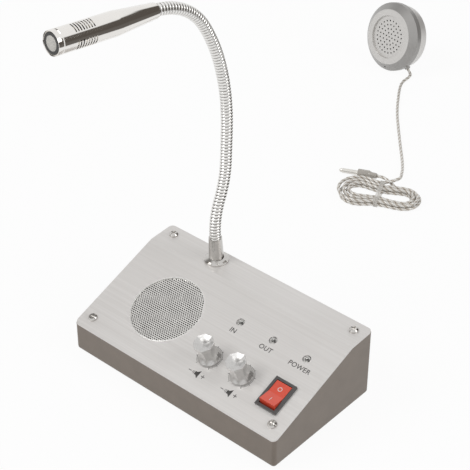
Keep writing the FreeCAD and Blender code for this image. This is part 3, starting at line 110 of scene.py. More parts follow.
def sweep(name, points, around, outline, first_side=None, start=0.0):
    """A tube along points. outline(angle, run) gives its radius; u goes round and v along it."""
    last = len(points) - 1
    ways = [(points[min(i + 1, last)] - points[max(i - 1, 0)]).normalized() for i in range(last + 1)]
    side = first_side or ways[0].orthogonal()
    vertices, faces, spots = [], [], []
    run = start
    for index, (place, way) in enumerate(zip(points, ways)):
        if index:
            run += (place - points[index - 1]).length
        side = (side - way * side.dot(way)).normalized()
        other = way.cross(side)
        for step in range(around):
            angle = math.tau * step / around
            reach = outline(angle, run)
            vertices.append(place + (side * math.cos(angle) + other * math.sin(angle)) * reach)
        if index:
            before = run - (place - points[index - 1]).length
            low = (index - 1) * around
            for step in range(around):
                after = (step + 1) % around
                faces.append((low + step, low + after, low + around + after, low + around + step))
                spots += [(step / around, before), ((step + 1) / around, before),
                          ((step + 1) / around, run), (step / around, run)]
    mesh = bpy.data.meshes.new(name)
    for end, flip in ((0, True), (last, False)):
        ring = [end * around + step for step in range(around)]
        faces.append(ring[::-1] if flip else ring)
        spots += [(0.5, run if end else start)] * around
    mesh.from_pydata(vertices, [], faces)
    layer = mesh.uv_layers.new(name="along")
    for corner, spot in zip(layer.data, spots):
        corner.uv = spot
    mesh.polygons.foreach_set("use_smooth", [True] * len(mesh.polygons))
    piece = bpy.data.objects.new(name, mesh)
    bpy.context.scene.collection.objects.link(piece)
    return piece


MM = 0.001
on_desk = 1.28
lead_route = [(-127.4, 373.6, 0.3), (-126.6, 368.4, 0), (-126.4, 361.8, 0), (-123.6, 354.4, 0),
              (-119.2, 346.6, 0), (-113.2, 337.2, 0), (-105.1, 324.9, 0), (-96.1, 312.8, 0),
              (-86.9, 301.5, 0), (-77.8, 290.5, 0), (-68.9, 279.7, 0), (-60.6, 270.0, 0),
              (-53.8, 261.6, 0.4), (-48.2, 253.8, 1.6), (-43.6, 246.2, 2.8)]
grommet_exit = Vector((-132.26, 376.00, 4.77))
grommet_way = Vector((0.618, -0.045, -0.785))
hank_end = Vector((-40.85, 234.55, 4.75))
hank_way = Vector((0.102, 0.995, 0))
first_run, last_run = 4.0, 5.5
lead = [grommet_exit, grommet_exit + grommet_way * first_run]
lead += [Vector((across, along, on_desk + lift)) for across, along, lift in lead_route]
lead += [hank_end + hank_way * last_run]
hank_place = Matrix.Translation((-39.9, 216.3, 0)) @ Matrix.Rotation(math.radians(24.5), 4, "Z")
lanes = [0, 1, 2, 3, 4, 5, 4, 3, 2, 1, 0]
second_layer = 5
half_run = 15.2
layer_low = (1.80, 4.75)
left_side, waist_side, right_side = (16.7, 1.85), (12.3, 1.675), (13.4, 1.5)
arc_swell = 1.034


def lane_reach(lane, side):
    """Millimetres from the hank's middle line to a lane, at its left, its waist or its right."""
    outermost, step = side
    return outermost - step * lane


hank = []
sign = 1
for index, lane in enumerate(lanes):
    low = layer_low[0] if index < second_layer else layer_low[1]
    begins = layer_low[0] if index == second_layer else low
    start_side, end_side = (left_side, right_side) if sign > 0 else (right_side, left_side)
    start_reach, end_reach = lane_reach(lane, start_side), lane_reach(lane, end_side)
    waist = lane_reach(lane, waist_side)
    if index:
        hank.append((-sign * half_run, sign * start_reach, begins))
        hank.append((-sign * half_run * 0.5 - 0.75, sign * (start_reach * 0.45 + waist * 0.55),
                     begins * 0.75 + low * 0.25))
        hank.append((-1.5, sign * waist, (begins + low) / 2))
    if index == len(lanes) - 1:
        break
    hank.append((sign * half_run * 0.5, sign * (end_reach * 0.45 + waist * 0.55),
                 begins * 0.25 + low * 0.75))
    next_reach = lane_reach(lanes[index + 1], end_side)
    radius, middle = (end_reach + next_reach) / 2, sign * (end_reach - next_reach) / 2
    hank.append((sign * half_run, sign * end_reach, low))
    for step in range(1, 6):
        turn = math.radians(90 - 30 * step)
        hank.append((sign * (half_run + radius * arc_swell * math.cos(turn)),
                     middle + sign * radius * arc_swell * math.sin(turn), low))
    sign = -sign
tail = [(8.6, 13.4, 1.8), (2.0, 20.0, 2.1), (-3.2, 23.0, 3.25), (-8.0, 23.0, 3.25)]
route = lead + [hank_place @ Vector(spot) for spot in hank[::-1] + tail]
twist = 0.0098
cord_line = evenly(curve_points("cord_line", [place * MM for place in route]), 0.0007)


def two_cores(angle, run):
    """Radius of the twisted pair: widest across both cores, and less between them."""
    return 0.00127 * (0.91 + 0.09 * math.cos(2 * (angle - run * math.tau / twist)))


cord = sweep("twisted_cord", cord_line, 12, two_cores)


def adder(tree):
    """The call that adds a shader node to a tree, with values for its inputs or settings."""
    def add(kind, **values):
        node = tree.nodes.new("ShaderNode" + kind)
        for key, value in values.items():
            if key in node.inputs:
                node.inputs[key].default_value = value
            else:
                setattr(node, key, value)
        return node

    return add


def finish(name):
    """A new surface finish with its shader, and the calls that add and join nodes in it."""
    made = bpy.data.materials.new(name)
    made.use_nodes = True
    tree = made.node_tree
    return made, tree.nodes["Principled BSDF"], adder(tree), tree.links.new


def shades(add, *stops):
    """A colour ramp through the given places and colours."""
    node = add("ValToRGB")
    ramp = node.color_ramp
    while len(ramp.elements) < len(stops):
        ramp.elements.new(0.5)
    for element, (place, colour) in zip(ramp.elements, stops):
        element.position = place
        element.color = (*colour, 1)
    return node


cord_finish, shader, add, join = finish("clear_twisted_cord")
spots = add("TexCoord")
turned = add("Mapping")
turned.inputs["Scale"].default_value = (2, -2 / twist, 1)
parts = add("SeparateXYZ")
total = add("Math", operation="ADD")
wave = add("Math", operation="PINGPONG")
wave.inputs[1].default_value = 0.5
# The ramp follows the twist of the pair: pale on the two cores and darker tan towards the groove between
# them, where the darkening is painted shade.
cord_groove_shade = shades(add, (0.0, (0.72, 0.69, 0.64)), (0.34, (0.88, 0.865, 0.83)), (0.64, (0.56, 0.51, 0.445)),
                (1.0, (0.40, 0.345, 0.285)))
spread = add("Math", operation="MULTIPLY")
spread.inputs[1].default_value = 2.0
join(spots.outputs["UV"], turned.inputs["Vector"])
join(turned.outputs["Vector"], parts.inputs[0])
join(parts.outputs["X"], total.inputs[0])
join(parts.outputs["Y"], total.inputs[1])
join(total.outputs[0], wave.inputs[0])
join(wave.outputs[0], spread.inputs[0])
join(spread.outputs[0], cord_groove_shade.inputs["Fac"])
join(cord_groove_shade.outputs["Color"], shader.inputs["Base Color"])
shader.inputs["Roughness"].default_value = 0.26
shader.inputs["Metallic"].default_value = 0.1
shader.inputs["Coat Weight"].default_value = 0.8
shader.inputs["Coat Roughness"].default_value = 0.12
cord.data.materials.append(cord_finish)
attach(cord, "console")
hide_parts("cord_lead", "cord_hank", "cord_tail")

# Tie, plug and grommet: a clear flat strap round the waist of the hank, a small
# smoky plastic plug with a nickel pin, and the rubber bush in the outside unit.
def wear(finish_made, *names):
    """Gives CAD pieces their finish."""
    for name in names:
        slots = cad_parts[name].data.materials
        slots.clear()
        slots.append(finish_made)


def grained(name, colour, rough, size=400, depth=0.00003, spread=0.08, metal=0.0, coat=0.0):
    """A plain finish with fine grain: a little colour change, roughness change and bump."""
    made, shader, add, join = finish(name)
    place = add("TexCoord")
    fine = add("TexNoise", Scale=size * 6, Detail=4.0, Roughness=0.6)
    broad = add("TexNoise", Scale=size / 4, Detail=3.0, Roughness=0.5)
    darker = tuple(channel * (1 - spread) for channel in colour)
    lighter = tuple(min(1, channel * (1 + spread)) for channel in colour)
    tone = shades(add, (0.3, darker), (0.7, lighter))
    dull = add("MapRange")
    dull.inputs["To Min"].default_value = max(rough - 0.06, 0.02)
    dull.inputs["To Max"].default_value = min(rough + 0.06, 1)
    bump = add("Bump", Strength=0.5, Distance=depth)
    for noise in (fine, broad):
        join(place.outputs["Object"], noise.inputs["Vector"])
    join(broad.outputs["Fac"], tone.inputs["Fac"])
    join(tone.outputs["Color"], shader.inputs["Base Color"])
    join(fine.outputs["Fac"], dull.inputs["Value"])
    join(dull.outputs["Result"], shader.inputs["Roughness"])
    join(fine.outputs["Fac"], bump.inputs["Height"])
    join(bump.outputs["Normal"], shader.inputs["Normal"])
    shader.inputs["Metallic"].default_value = metal
    shader.inputs["Coat Weight"].default_value = coat
    return made


tie_clear = grained("clear_strap", (0.78, 0.755, 0.71), 0.18, size=300, spread=0.05, coat=0.6)
tie_shader = tie_clear.node_tree.nodes["Principled BSDF"]
tie_shader.inputs["Alpha"].default_value = 0.45
wear(tie_clear, "hank_tie")
rubber = grained("black_rubber", (0.030, 0.030, 0.031), 0.62, size=500, spread=0.2)
wear(rubber, "rubber_feet", "mic_capsule_holder")
wear(grained("smoky_clear_moulding", (0.46, 0.43, 0.385), 0.24, size=400, spread=0.12, coat=0.7), "plug_body")
grommet_grey = grained("pale_rubber", (0.52, 0.51, 0.49), 0.5, size=500)
wear(grommet_grey, "cord_grommet")
nickel = grained("nickel_plate", (0.70, 0.68, 0.64), 0.22, size=600, depth=0.000008, metal=1.0)
wear(nickel, "plug_pin", "outside_unit_jack", "jack_nut", "unit_mic_capsule", "mic_capsule")

# Case: a folded steel tray with rounded edges, stove painted in a fine textured
# taupe. The rubber feet are screwed on from below.
taupe = grained("taupe_paint", (0.202, 0.165, 0.134), 0.42, size=420, depth=0.00002, spread=0.05, coat=0.08)
wear(taupe, "base_case")

# Top panel: one sheet of brushed aluminium, bent once and held by four pan-head
# screws. The brushing runs along its width.
panel_finish, shader, add, join = finish("brushed_aluminium")
place = add("TexCoord")
drawn_out = add("Mapping")
drawn_out.inputs["Scale"].default_value = (9, 900, 900)
streaks = add("TexNoise", Scale=1.0, Detail=5.0, Roughness=0.65)
sheen = add("TexNoise", Scale=14.0, Detail=2.0, Roughness=0.5)
tone = shades(add, (0.30, (0.715, 0.693, 0.672)), (0.72, (0.785, 0.765, 0.747)))
soft = shades(add, (0.35, (0.965, 0.962, 0.96)), (0.65, (1.0, 1.0, 1.0)))
both = add("Mix", data_type="RGBA", blend_type="MULTIPLY")
both.inputs["Factor"].default_value = 1.0
dull = add("MapRange")
dull.inputs["To Min"].default_value = 0.36
dull.inputs["To Max"].default_value = 0.50
bump = add("Bump", Strength=0.35, Distance=0.00001)
join(place.outputs["Object"], drawn_out.inputs["Vector"])
join(drawn_out.outputs["Vector"], streaks.inputs["Vector"])
join(place.outputs["Object"], sheen.inputs["Vector"])
join(streaks.outputs["Fac"], tone.inputs["Fac"])
join(sheen.outputs["Fac"], soft.inputs["Fac"])
join(tone.outputs["Color"], both.inputs["A"])
join(soft.outputs["Color"], both.inputs["B"])
join(both.outputs["Result"], shader.inputs["Base Color"])
join(streaks.outputs["Fac"], dull.inputs["Value"])
join(dull.outputs["Result"], shader.inputs["Roughness"])
join(streaks.outputs["Fac"], bump.inputs["Height"])
join(bump.outputs["Normal"], shader.inputs["Normal"])
shader.inputs["Metallic"].default_value = 0.35
wear(panel_finish, "top_panel")
steel = grained("zinc_steel", (0.50, 0.50, 0.49), 0.32, size=500, depth=0.00001, metal=1.0)
wear(steel, "foot_screws", "speaker_clips", "speaker_clip_nuts", "board_screws", "board_spacers",
     "potentiometer_nuts", "pot_shaft_left", "pot_shaft_right", "unit_screws", "speaker_basket",
     "unit_driver_frame")
# A darker copy of the chrome for the screw heads, flange, ferrule and lock nut: its lower colour is painted
# shade standing in for darker reflections.
chrome_painted_darker = grained("chrome_painted_darker", (0.56, 0.545, 0.525), 0.15, size=500, depth=0.00001,
                        spread=0.05, metal=1.0)
wear(chrome_painted_darker, "panel_screws", "neck_flange", "neck_ferrule", "neck_lock_nut")

# Speaker grille: a thin steel disc behind the round opening, punched with fine
# staggered holes. The drawn solid has fewer and larger holes than the real one.
panel_tilt = math.atan2(25.8, 68.5)
PANEL = Matrix.Translation((0, -0.04375, 0.0226)) @ Matrix.Rotation(panel_tilt, 4, "X")
row_share = 0.8660254


def punched(name, place, radius, thick, pitch, hole):
    """A disc of hexagonal cells, each with a round hole; its front face is at the frame's plane."""
    shape = bmesh.new()
    rows = int(radius / pitch / row_share) + 2
    for row in range(-rows, rows + 1):
        for column in range(-rows, rows + 1):
            middle = Vector(((column + (row % 2) / 2) * pitch, row * pitch * row_share))
            if middle.length > radius - pitch * 0.58:
                continue
            outer, inner = [], []
            for step in range(12):
                way = Vector((math.cos(math.tau * step / 12), math.sin(math.tau * step / 12)))
                reach = pitch / 2 if step % 2 == 0 else pitch / (2 * row_share)
                outer.append(shape.verts.new((*(middle + way * reach), 0)))
                inner.append(shape.verts.new((*(middle + way * hole), 0)))
            for step in range(12):
                after = (step + 1) % 12
                shape.faces.new((outer[step], outer[after], inner[after], inner[step]))
    bmesh.ops.remove_doubles(shape, verts=shape.verts, dist=pitch * 0.02)
    mesh = bpy.data.meshes.new(name)
    shape.to_mesh(mesh)
    shape.free()
    piece = bpy.data.objects.new(name, mesh)
    bpy.context.scene.collection.objects.link(piece)
    piece.matrix_world = place
    sheet = piece.modifiers.new("sheet", "SOLIDIFY")
    sheet.thickness = thick
    sheet.offset = -1
    return piece


behind_panel = 0.001
SPEAKER = PANEL @ Matrix.Translation((-0.035, 0.0374, -behind_panel))
grille = punched("fine_speaker_grille", SPEAKER, radius=0.0244, thick=0.0006, pitch=0.00156, hole=0.00053)
grille_steel = grained("grille_steel", (0.84, 0.825, 0.80), 0.34, size=500, depth=0.000008, metal=0.6)
grille.data.materials.append(grille_steel)
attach(grille, "console")
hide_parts("speaker_grille")


def lathe(name, place, outline, around=96, ripple=None):
    """A turned piece from (radius, height) pairs; ripple(angle, height) is a factor on its radius."""
    shape = bmesh.new()
    rings = []
    for radius, height in outline:
        if radius < 1e-7:
            rings.append([shape.verts.new((0, 0, height))])
            continue
        ring = []
        for step in range(around):
            angle = math.tau * step / around
            reach = radius * (ripple(angle, height) if ripple else 1)
            ring.append(shape.verts.new((reach * math.cos(angle), reach * math.sin(angle), height)))
        rings.append(ring)
    for one, two in zip(rings, rings[1:]):
        for step in range(around):
            after = (step + 1) % around
            corners = [one[step % len(one)], one[after % len(one)],
                       two[after % len(two)], two[step % len(two)]]
            corners = list(dict.fromkeys(corners))
            if len(corners) > 2:
                shape.faces.new(corners)
    for face in shape.faces:
        face.smooth = True
    bmesh.ops.recalc_face_normals(shape, faces=shape.faces)
    mesh = bpy.data.meshes.new(name)
    shape.to_mesh(mesh)
    shape.free()
    mesh.set_sharp_from_angle(angle=math.radians(38))
    piece = bpy.data.objects.new(name, mesh)
    bpy.context.scene.collection.objects.link(piece)
    piece.matrix_world = place
    return piece


rim_outline = [(0.02296, -0.0009), (0.02296, -0.0001), (0.02303, 0.00004), (0.02330, 0.00007), (0.02352, 0.0)]
rim = lathe("speaker_opening_edge", SPEAKER @ Matrix.Translation((0, 0, behind_panel)), rim_outline, 128)
bright_edge = grained("bright_cut_edge", (0.86, 0.85, 0.83), 0.25, size=500, depth=0.000004,
                      spread=0.02, metal=0.4)
rim.data.materials.append(bright_edge)
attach(rim, "console")

# Speaker, behind the grille: paper cone with a rubber surround, ferrite magnet and
# a pressed basket, held by three clips. Its look is guessed, the grille hides it.
paper = grained("black_paper", (0.020, 0.019, 0.018), 0.85, size=500, spread=0.25)
ferrite = grained("grey_ferrite", (0.075, 0.075, 0.078), 0.6, size=500, spread=0.15)
gasket_foam = grained("black_foam", (0.022, 0.022, 0.022), 0.95, size=700, depth=0.0001, spread=0.2)
wear(paper, "speaker_cone", "unit_driver_cone")
wear(ferrite, "speaker_magnet", "unit_magnet")
wear(gasket_foam, "speaker_gasket")

# Circuit board, pots and power inlet: green fibreglass with the lamps on it, the
# closed cans of the two volume controls, and a black inlet that snaps into the
# back. Their looks are guessed, since the panel and the case hide them.
board_green = grained("green_board", (0.020, 0.115, 0.055), 0.38, size=350, spread=0.18, coat=0.3)
black_plastic = grained("black_plastic", (0.035, 0.034, 0.033), 0.42, size=500, spread=0.15)
wear(board_green, "circuit_board")
wear(steel, "potentiometers")
wear(black_plastic, "power_inlet")

# Volume knobs: turned and milled aluminium with a dished top, eight broad flutes
# that leave a scalloped top edge, a flared skirt and a grey pointer window.
knob_metal, shader, add, join = finish("turned_aluminium")
place = add("TexCoord")
bands = add("Mapping")
bands.inputs["Scale"].default_value = (1, 1, 40)
rings_noise = add("TexNoise", Scale=900.0, Detail=3.0)
tone = shades(add, (0.3, (0.50, 0.492, 0.48)), (0.7, (0.66, 0.652, 0.64)))
dull = add("MapRange")
dull.inputs["To Min"].default_value = 0.24
dull.inputs["To Max"].default_value = 0.38
radial = add("Tangent", direction_type="RADIAL", axis="Z")
join(place.outputs["Object"], bands.inputs["Vector"])
join(bands.outputs["Vector"], rings_noise.inputs["Vector"])
join(rings_noise.outputs["Fac"], tone.inputs["Fac"])
join(tone.outputs["Color"], shader.inputs["Base Color"])
join(rings_noise.outputs["Fac"], dull.inputs["Value"])
join(dull.outputs["Result"], shader.inputs["Roughness"])
join(radial.outputs["Tangent"], shader.inputs["Tangent"])
shader.inputs["Metallic"].default_value = 0.85
shader.inputs["Anisotropic"].default_value = 0.75
window_grey = grained("pointer_grey", (0.235, 0.225, 0.215), 0.45, size=600, spread=0.1)
knob_outline = [(0.0055, 0.0004), (0.0070, 0.0004), (0.0072, 0.0007), (0.00718, 0.0012), (0.00690, 0.0018),
                (0.00655, 0.0026), (0.00620, 0.0036), (0.00592, 0.0046), (0.00574, 0.0058), (0.00566, 0.0072),
                (0.00568, 0.0088), (0.00582, 0.0104), (0.00604, 0.0120), (0.00628, 0.0134), (0.00648, 0.0145),
                (0.00648, 0.0151), (0.00638, 0.0152), (0.00590, 0.01512), (0.0050, 0.01475), (0.0038, 0.0144),
                (0.0026, 0.01418), (0.0013, 0.01406), (0.0, 0.01402)]
flute_angle, flute_depth, flute_top_loss = 45, 0.135, 0.055


def grown(height, foot, length):
    """Share from 0 to 1 as the height passes over a length that starts at the foot."""
    return min(max((height - foot) / length, 0), 1)


def fluted(angle, height):
    """The flutes are deepest at the waist and run out above the skirt."""
    part = (math.degrees(angle) / flute_angle + 0.5) % 1 * 2 - 1
    depth = flute_depth - flute_top_loss * grown(height, 0.0095, 0.004)
    return 1 - depth * grown(height, 0.0008, 0.0034) * (1 - abs(part) ** 1.7)


knob_places = (("left", 11.0), ("right", 35.9))
knob_up = 0.0242
knob_turn = Matrix.Rotation(math.radians(7.5), 4, "Z")
window_foot, window_tall = 0.0009, 0.0030
window_middle, window_step = 22.5, 3.4
for side, across in knob_places:
    body = "knob_" + side
    KNOB = PANEL @ Matrix.Translation((across * MM, knob_up, 0)) @ knob_turn
    knob = lathe("fluted_" + body, KNOB, knob_outline, 160, fluted)
    knob.data.materials.append(knob_metal)
    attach(knob, body)
    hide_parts("volume_" + body)
    shape = bmesh.new()
    cells = []
    for row in range(5):
        height = window_foot + window_tall * row / 4
        reach = 0.00722 - max(0, height - 0.0010) * 0.37
        line = []
        for step in range(7):
            angle = math.radians(window_middle + (step - 3) * window_step)
            line.append(shape.verts.new((reach * math.cos(angle), reach * math.sin(angle), height)))
        cells.append(line)
    for one, two in zip(cells, cells[1:]):
        for step in range(6):
            shape.faces.new((one[step], one[step + 1], two[step + 1], two[step]))
    mesh = bpy.data.meshes.new(body + "_pointer_window")
    shape.to_mesh(mesh)
    shape.free()
    window = bpy.data.objects.new(body + "_pointer_window", mesh)
    bpy.context.scene.collection.objects.link(window)
    window.matrix_world = KNOB
    depth = window.modifiers.new("depth", "SOLIDIFY")
    depth.thickness = 0.0003
    depth.offset = -1
    window.data.materials.append(window_grey)
    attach(window, body)

# Printed marks: a dial arc with nine ticks round each knob, minus, loudspeaker and
# plus under it, and the words by the lamps, all silk-screened in dark grey ink.
ink = grained("screen_ink", (0.060, 0.056, 0.053), 0.55, size=900, depth=0.000002, spread=0.2)
ink_lift = 0.00003


def flat_marks(name, polygons, place, lift=ink_lift, body="console", made=None):
    """Thin printed shapes from lists of (x, y) corners in millimetres."""
    shape = bmesh.new()
    for corners in polygons:
        shape.faces.new([shape.verts.new((x * MM, y * MM, 0)) for x, y in corners])
    bmesh.ops.recalc_face_normals(shape, faces=shape.faces)
    for face in shape.faces:
        if face.normal.z < 0:
            face.normal_flip()
    mesh = bpy.data.meshes.new(name)
    shape.to_mesh(mesh)
    shape.free()
    piece = bpy.data.objects.new(name, mesh)
    bpy.context.scene.collection.objects.link(piece)
    piece.matrix_world = place @ Matrix.Translation((0, 0, lift))
    piece.data.materials.append(made or ink)
    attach(piece, body)
    return piece


def arc_band(inner, outer, start, end, steps=48):
    """Quads along an arc, as corner lists."""
    quads = []
    for step in range(steps):
        one = math.radians(start + (end - start) * step / steps)
        two = math.radians(start + (end - start) * (step + 1) / steps)
        corners = ((inner, one), (outer, one), (outer, two), (inner, two))
        quads.append([(reach * math.cos(turn), reach * math.sin(turn)) for reach, turn in corners])
    return quads


def bar(x, y, width, height, angle=0.0):
    """One turned bar round its middle."""
    c, s = math.cos(math.radians(angle)), math.sin(math.radians(angle))
    wide, high = width / 2, height / 2
    corners = ((-wide, -high), (wide, -high), (wide, high), (-wide, high))
    return [(x + c * a - s * b, y + s * a + c * b) for a, b in corners]


dial_start, dial_end, tick_step, tick_reach = -55, 237, 36.5, 8.2
signs_up = 0.0114
for side, across in knob_places:
    dial = arc_band(7.75, 7.95, dial_start, dial_end, 72)
    for number in range(9):
        angle = dial_start + number * tick_step
        turn = math.radians(angle)
        dial.append(bar(tick_reach * math.cos(turn), tick_reach * math.sin(turn), 0.95, 0.28, angle))
    flat_marks("dial_" + side, dial, PANEL @ Matrix.Translation((across * MM, knob_up, 0)))
    sign_row = [bar(-4.7, 0, 2.2, 0.40), bar(5.2, 0, 2.6, 0.42), bar(5.2, 0, 0.42, 2.6),
                [(-1.0, -1.15), (0.35, -1.15), (0.35, 1.15), (-1.0, 1.15)],
                [(0.30, -1.1), (2.15, -2.8), (2.15, 2.8), (0.30, 1.1)],
                bar(-1.7, 0.0, 0.34, 2.2), bar(-2.5, 0.0, 0.30, 1.5)]
    sign_place = PANEL @ Matrix.Translation(((across + 0.1) * MM, signs_up, 0))
    flat_marks("volume_signs_" + side, sign_row, sign_place)

letter_size, words_up = 4.4, 0.0461
for word, across in (("IN", 11.0), ("OUT", 36.2), ("POWER", 61.5)):
    text = bpy.data.curves.new("word_" + word, "FONT")
    text.body = word
    text.size = letter_size * MM
    text.align_x = "CENTER"
    text.align_y = "CENTER"
    text.space_character = 1.04
    text.offset = 0.00003
    text.resolution_u = 4
    text.extrude = 0.00001
    lettering = bpy.data.objects.new("word_" + word, text)
    bpy.context.scene.collection.objects.link(lettering)
    lettering.matrix_world = PANEL @ Matrix.Translation((across * MM, words_up, ink_lift))
    text.materials.append(ink)
    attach(lettering, "console")

# Lamps: three clear 5 mm lamps that show as low domes in their holes, each with a
# white cup inside and the small dark lead frame standing in it.
lens_clear, shader, add, join = finish("clear_lens")
place = add("TexCoord")
cloud = add("TexNoise", Scale=700.0, Detail=2.0)
tone = shades(add, (0.3, (0.86, 0.86, 0.85)), (0.7, (0.95, 0.95, 0.94)))
join(place.outputs["Object"], cloud.inputs["Vector"])
join(cloud.outputs["Fac"], tone.inputs["Fac"])
join(tone.outputs["Color"], shader.inputs["Base Color"])
shader.inputs["Roughness"].default_value = 0.04
shader.inputs["Transmission Weight"].default_value = 0.92
shader.inputs["IOR"].default_value = 1.2
lead_dark = grained("lead_frame", (0.10, 0.095, 0.088), 0.35, size=600, spread=0.2, metal=0.7)
lamp_white = grained("lamp_white", (0.84, 0.83, 0.81), 0.4, size=600)
lamp_parts = (
    ("dome", lens_clear, (0, 0), 48,
     [(0.0, -0.0079), (0.0024, -0.0079), (0.0025, -0.0078), (0.0025, -0.0019), (0.00243, -0.0011),
      (0.0022, -0.00035), (0.0017, 0.0002), (0.0010, 0.00050), (0.0, 0.0006)]),
    ("inside", lamp_white, (0, 0), 32,
     [(0.0, -0.0021), (0.0014, -0.0021), (0.0022, -0.0013), (0.0023, -0.0013), (0.0023, -0.0034),
      (0.0, -0.0034)]),
    ("cup", lead_dark, (0.0005, 0.0003), 24,
     [(0.0, -0.0013), (0.0003, -0.0013), (0.0006, -0.0008), (0.0007, -0.0008), (0.0007, -0.0017),
      (0.0004, -0.0019), (0.0004, -0.0024), (0.0, -0.0024)]),
    ("lead", lead_dark, (-0.0009, -0.0001), 6,
     [(0.0, -0.0009), (0.0004, -0.0009), (0.00045, -0.0024), (0.0, -0.0024)]))
lamps_up = 0.053
for number, across in enumerate((0.0113, 0.03655, 0.0618), 1):
    LAMP = PANEL @ Matrix.Translation((across, lamps_up, 0))
    for part, made, (aside, along), around, outline in lamp_parts:
        place = LAMP @ Matrix.Translation((aside, along, 0))
        piece = lathe("lamp_%s_%d" % (part, number), place, outline, around)
        piece.data.materials.append(made)
        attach(piece, "console")
        if part == "dome" and number == 1:
            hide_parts("indicator_lamps")

# Power switch: a dark grey snap-in housing with brass terminals, and a glossy red
# rocker with a white O at its back end and a white I at its front end.
bezel_grey = grained("bezel_grey", (0.085, 0.082, 0.080), 0.36, size=500, spread=0.08)
rocker_red = grained("rocker_red", (0.80, 0.085, 0.042), 0.20, size=300, depth=0.000003,
                     spread=0.05, coat=0.5)
brass = grained("plain_brass", (0.66, 0.50, 0.22), 0.30, size=500, depth=0.000008, metal=1.0)
wear(bezel_grey, "switch_housing")
wear(rocker_red, "switch_rocker")
wear(brass, "switch_terminals")
white_ink = grained("white_ink", (0.84, 0.82, 0.80), 0.5, size=900, depth=0.000002, spread=0.03)
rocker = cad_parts["switch_rocker"]
rocker_tree = BVHTree.FromPolygons([vertex.co.copy() for vertex in rocker.data.vertices],
                                   [tuple(face.vertices) for face in rocker.data.polygons])
SWITCH = PANEL @ Matrix.Translation((0.062, 0.024, 0))
down = (SWITCH.to_3x3() @ Vector((0, 0, -1))).normalized()
sign_lift = 0.00005
off_sign = [[(x, y + 4.1) for x, y in quad] for quad in arc_band(1.05, 1.38, 0, 360, 36)]
on_sign = [bar(0, -4.1, 0.32, 2.6)]
for name, polygons in (("off_sign", off_sign), ("on_sign", on_sign)):
    piece = flat_marks(name, polygons, SWITCH, lift=0.006, body="rocker", made=white_ink)
    for vertex in piece.data.vertices:
        hit = rocker_tree.ray_cast(piece.matrix_world @ vertex.co, down)[0]
        if hit:
            vertex.co = piece.matrix_world.inverted() @ (hit - down * sign_lift)

# Neck: a flexible tube of two wound wires under chrome. It is drawn as one ribbed
# winding, in nine lengths that each bend across one pivot of the eight links.
neck_axis = Vector((0.99618, -0.08715, -0.00505)).normalized()
neck_bends = (-23.9, 18.1, 1.8, 8.9, 9.9, 12.55, 32.86, 21.81)
link_length, last_length, link_steps = 0.02493, 0.01754, 32
point_gap = 0.0006
neck_radius, wire_pitch, groove_depth, groove_width = 0.00360, 0.00208, 0.17, 0.15
place_now = Vector((-0.034200, 0.034023, 0.068169))
way_now = Vector((0, -0.0578, 0.99833)).normalized()
centre = [place_now - way_now * point_gap * step for step in (3, 2, 1)]
for number, bend in enumerate(neck_bends):
    run = last_length if number == 7 else link_length
    for step in range(link_steps):
        centre.append(place_now.copy())
        turn = math.radians(bend) * (step + 0.5) / link_steps
        half = Matrix.Rotation(turn, 3, neck_axis) @ way_now
        place_now = place_now + half * (run / link_steps)
    way_now = Matrix.Rotation(math.radians(bend), 3, neck_axis) @ way_now
centre.append(place_now.copy())
neck_line = evenly(centre, 0.00026)


def wound(angle, run):
    """Round wire with a narrow groove at each turn."""
    part = (run / wire_pitch - angle / math.tau) % 1
    groove = math.exp(-((part - 0.5) / groove_width) ** 2)
    return neck_radius * (1 - groove_depth * groove)


# Chrome whose colour ramp follows the wire's turns and goes near black in the groove between them: painted
# shade.
neck_chrome_groove_shade, shader, add, join = finish("wound_chrome_painted_groove_shade")
place = add("TexCoord")
turned = add("Mapping")
turned.inputs["Scale"].default_value = (-1, 1 / wire_pitch, 1)
parts = add("SeparateXYZ")
total = add("Math", operation="ADD")
within = add("Math", operation="FRACT")
tone = shades(add, (0.0, (0.84, 0.83, 0.81)), (0.35, (0.76, 0.75, 0.73)), (0.44, (0.16, 0.155, 0.145)),
              (0.56, (0.14, 0.135, 0.13)), (0.65, (0.76, 0.75, 0.73)), (1.0, (0.84, 0.83, 0.81)))
rubbed = add("TexNoise", Scale=500.0, Detail=3.0)
dull = add("MapRange")
dull.inputs["To Min"].default_value = 0.14
dull.inputs["To Max"].default_value = 0.28
join(place.outputs["UV"], turned.inputs["Vector"])
join(turned.outputs["Vector"], parts.inputs[0])
join(parts.outputs["X"], total.inputs[0])
join(parts.outputs["Y"], total.inputs[1])
join(total.outputs[0], within.inputs[0])
join(within.outputs[0], tone.inputs["Fac"])
join(tone.outputs["Color"], shader.inputs["Base Color"])
join(place.outputs["Object"], rubbed.inputs["Vector"])
join(rubbed.outputs["Fac"], dull.inputs["Value"])
join(dull.outputs["Result"], shader.inputs["Roughness"])
shader.inputs["Metallic"].default_value = 1.0

lengths = [0.0]
for one, two in zip(neck_line, neck_line[1:]):
    lengths.append(lengths[-1] + (two - one).length)
first_pivot = 0.0018
bend_reach, foot_reach = 0.0085, 0.0016
cuts = [0.0] + [first_pivot + link_length * (number + 0.5) for number in range(7)]
cuts += [first_pivot + link_length * 7 + last_length / 2, lengths[-1]]


def nearest(reach):
    """Index of the point of the neck's line that is closest to a length along it."""
    return min(range(len(lengths)), key=lambda index: abs(lengths[index] - reach))


for number in range(9):
    low, high = nearest(cuts[number]), nearest(cuts[number + 1])
    winding = sweep("neck_winding_%d" % (number + 1), neck_line[low:high + 1], 32, wound,
                    first_side=neck_axis, start=lengths[low])
    winding.data.materials.append(neck_chrome_groove_shade)
    if number < 8:
        reach = bend_reach if number else foot_reach
        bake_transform(winding)
    else:
        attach(winding, "neck_8")
    if number:
        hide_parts("neck_link_%d" % number)

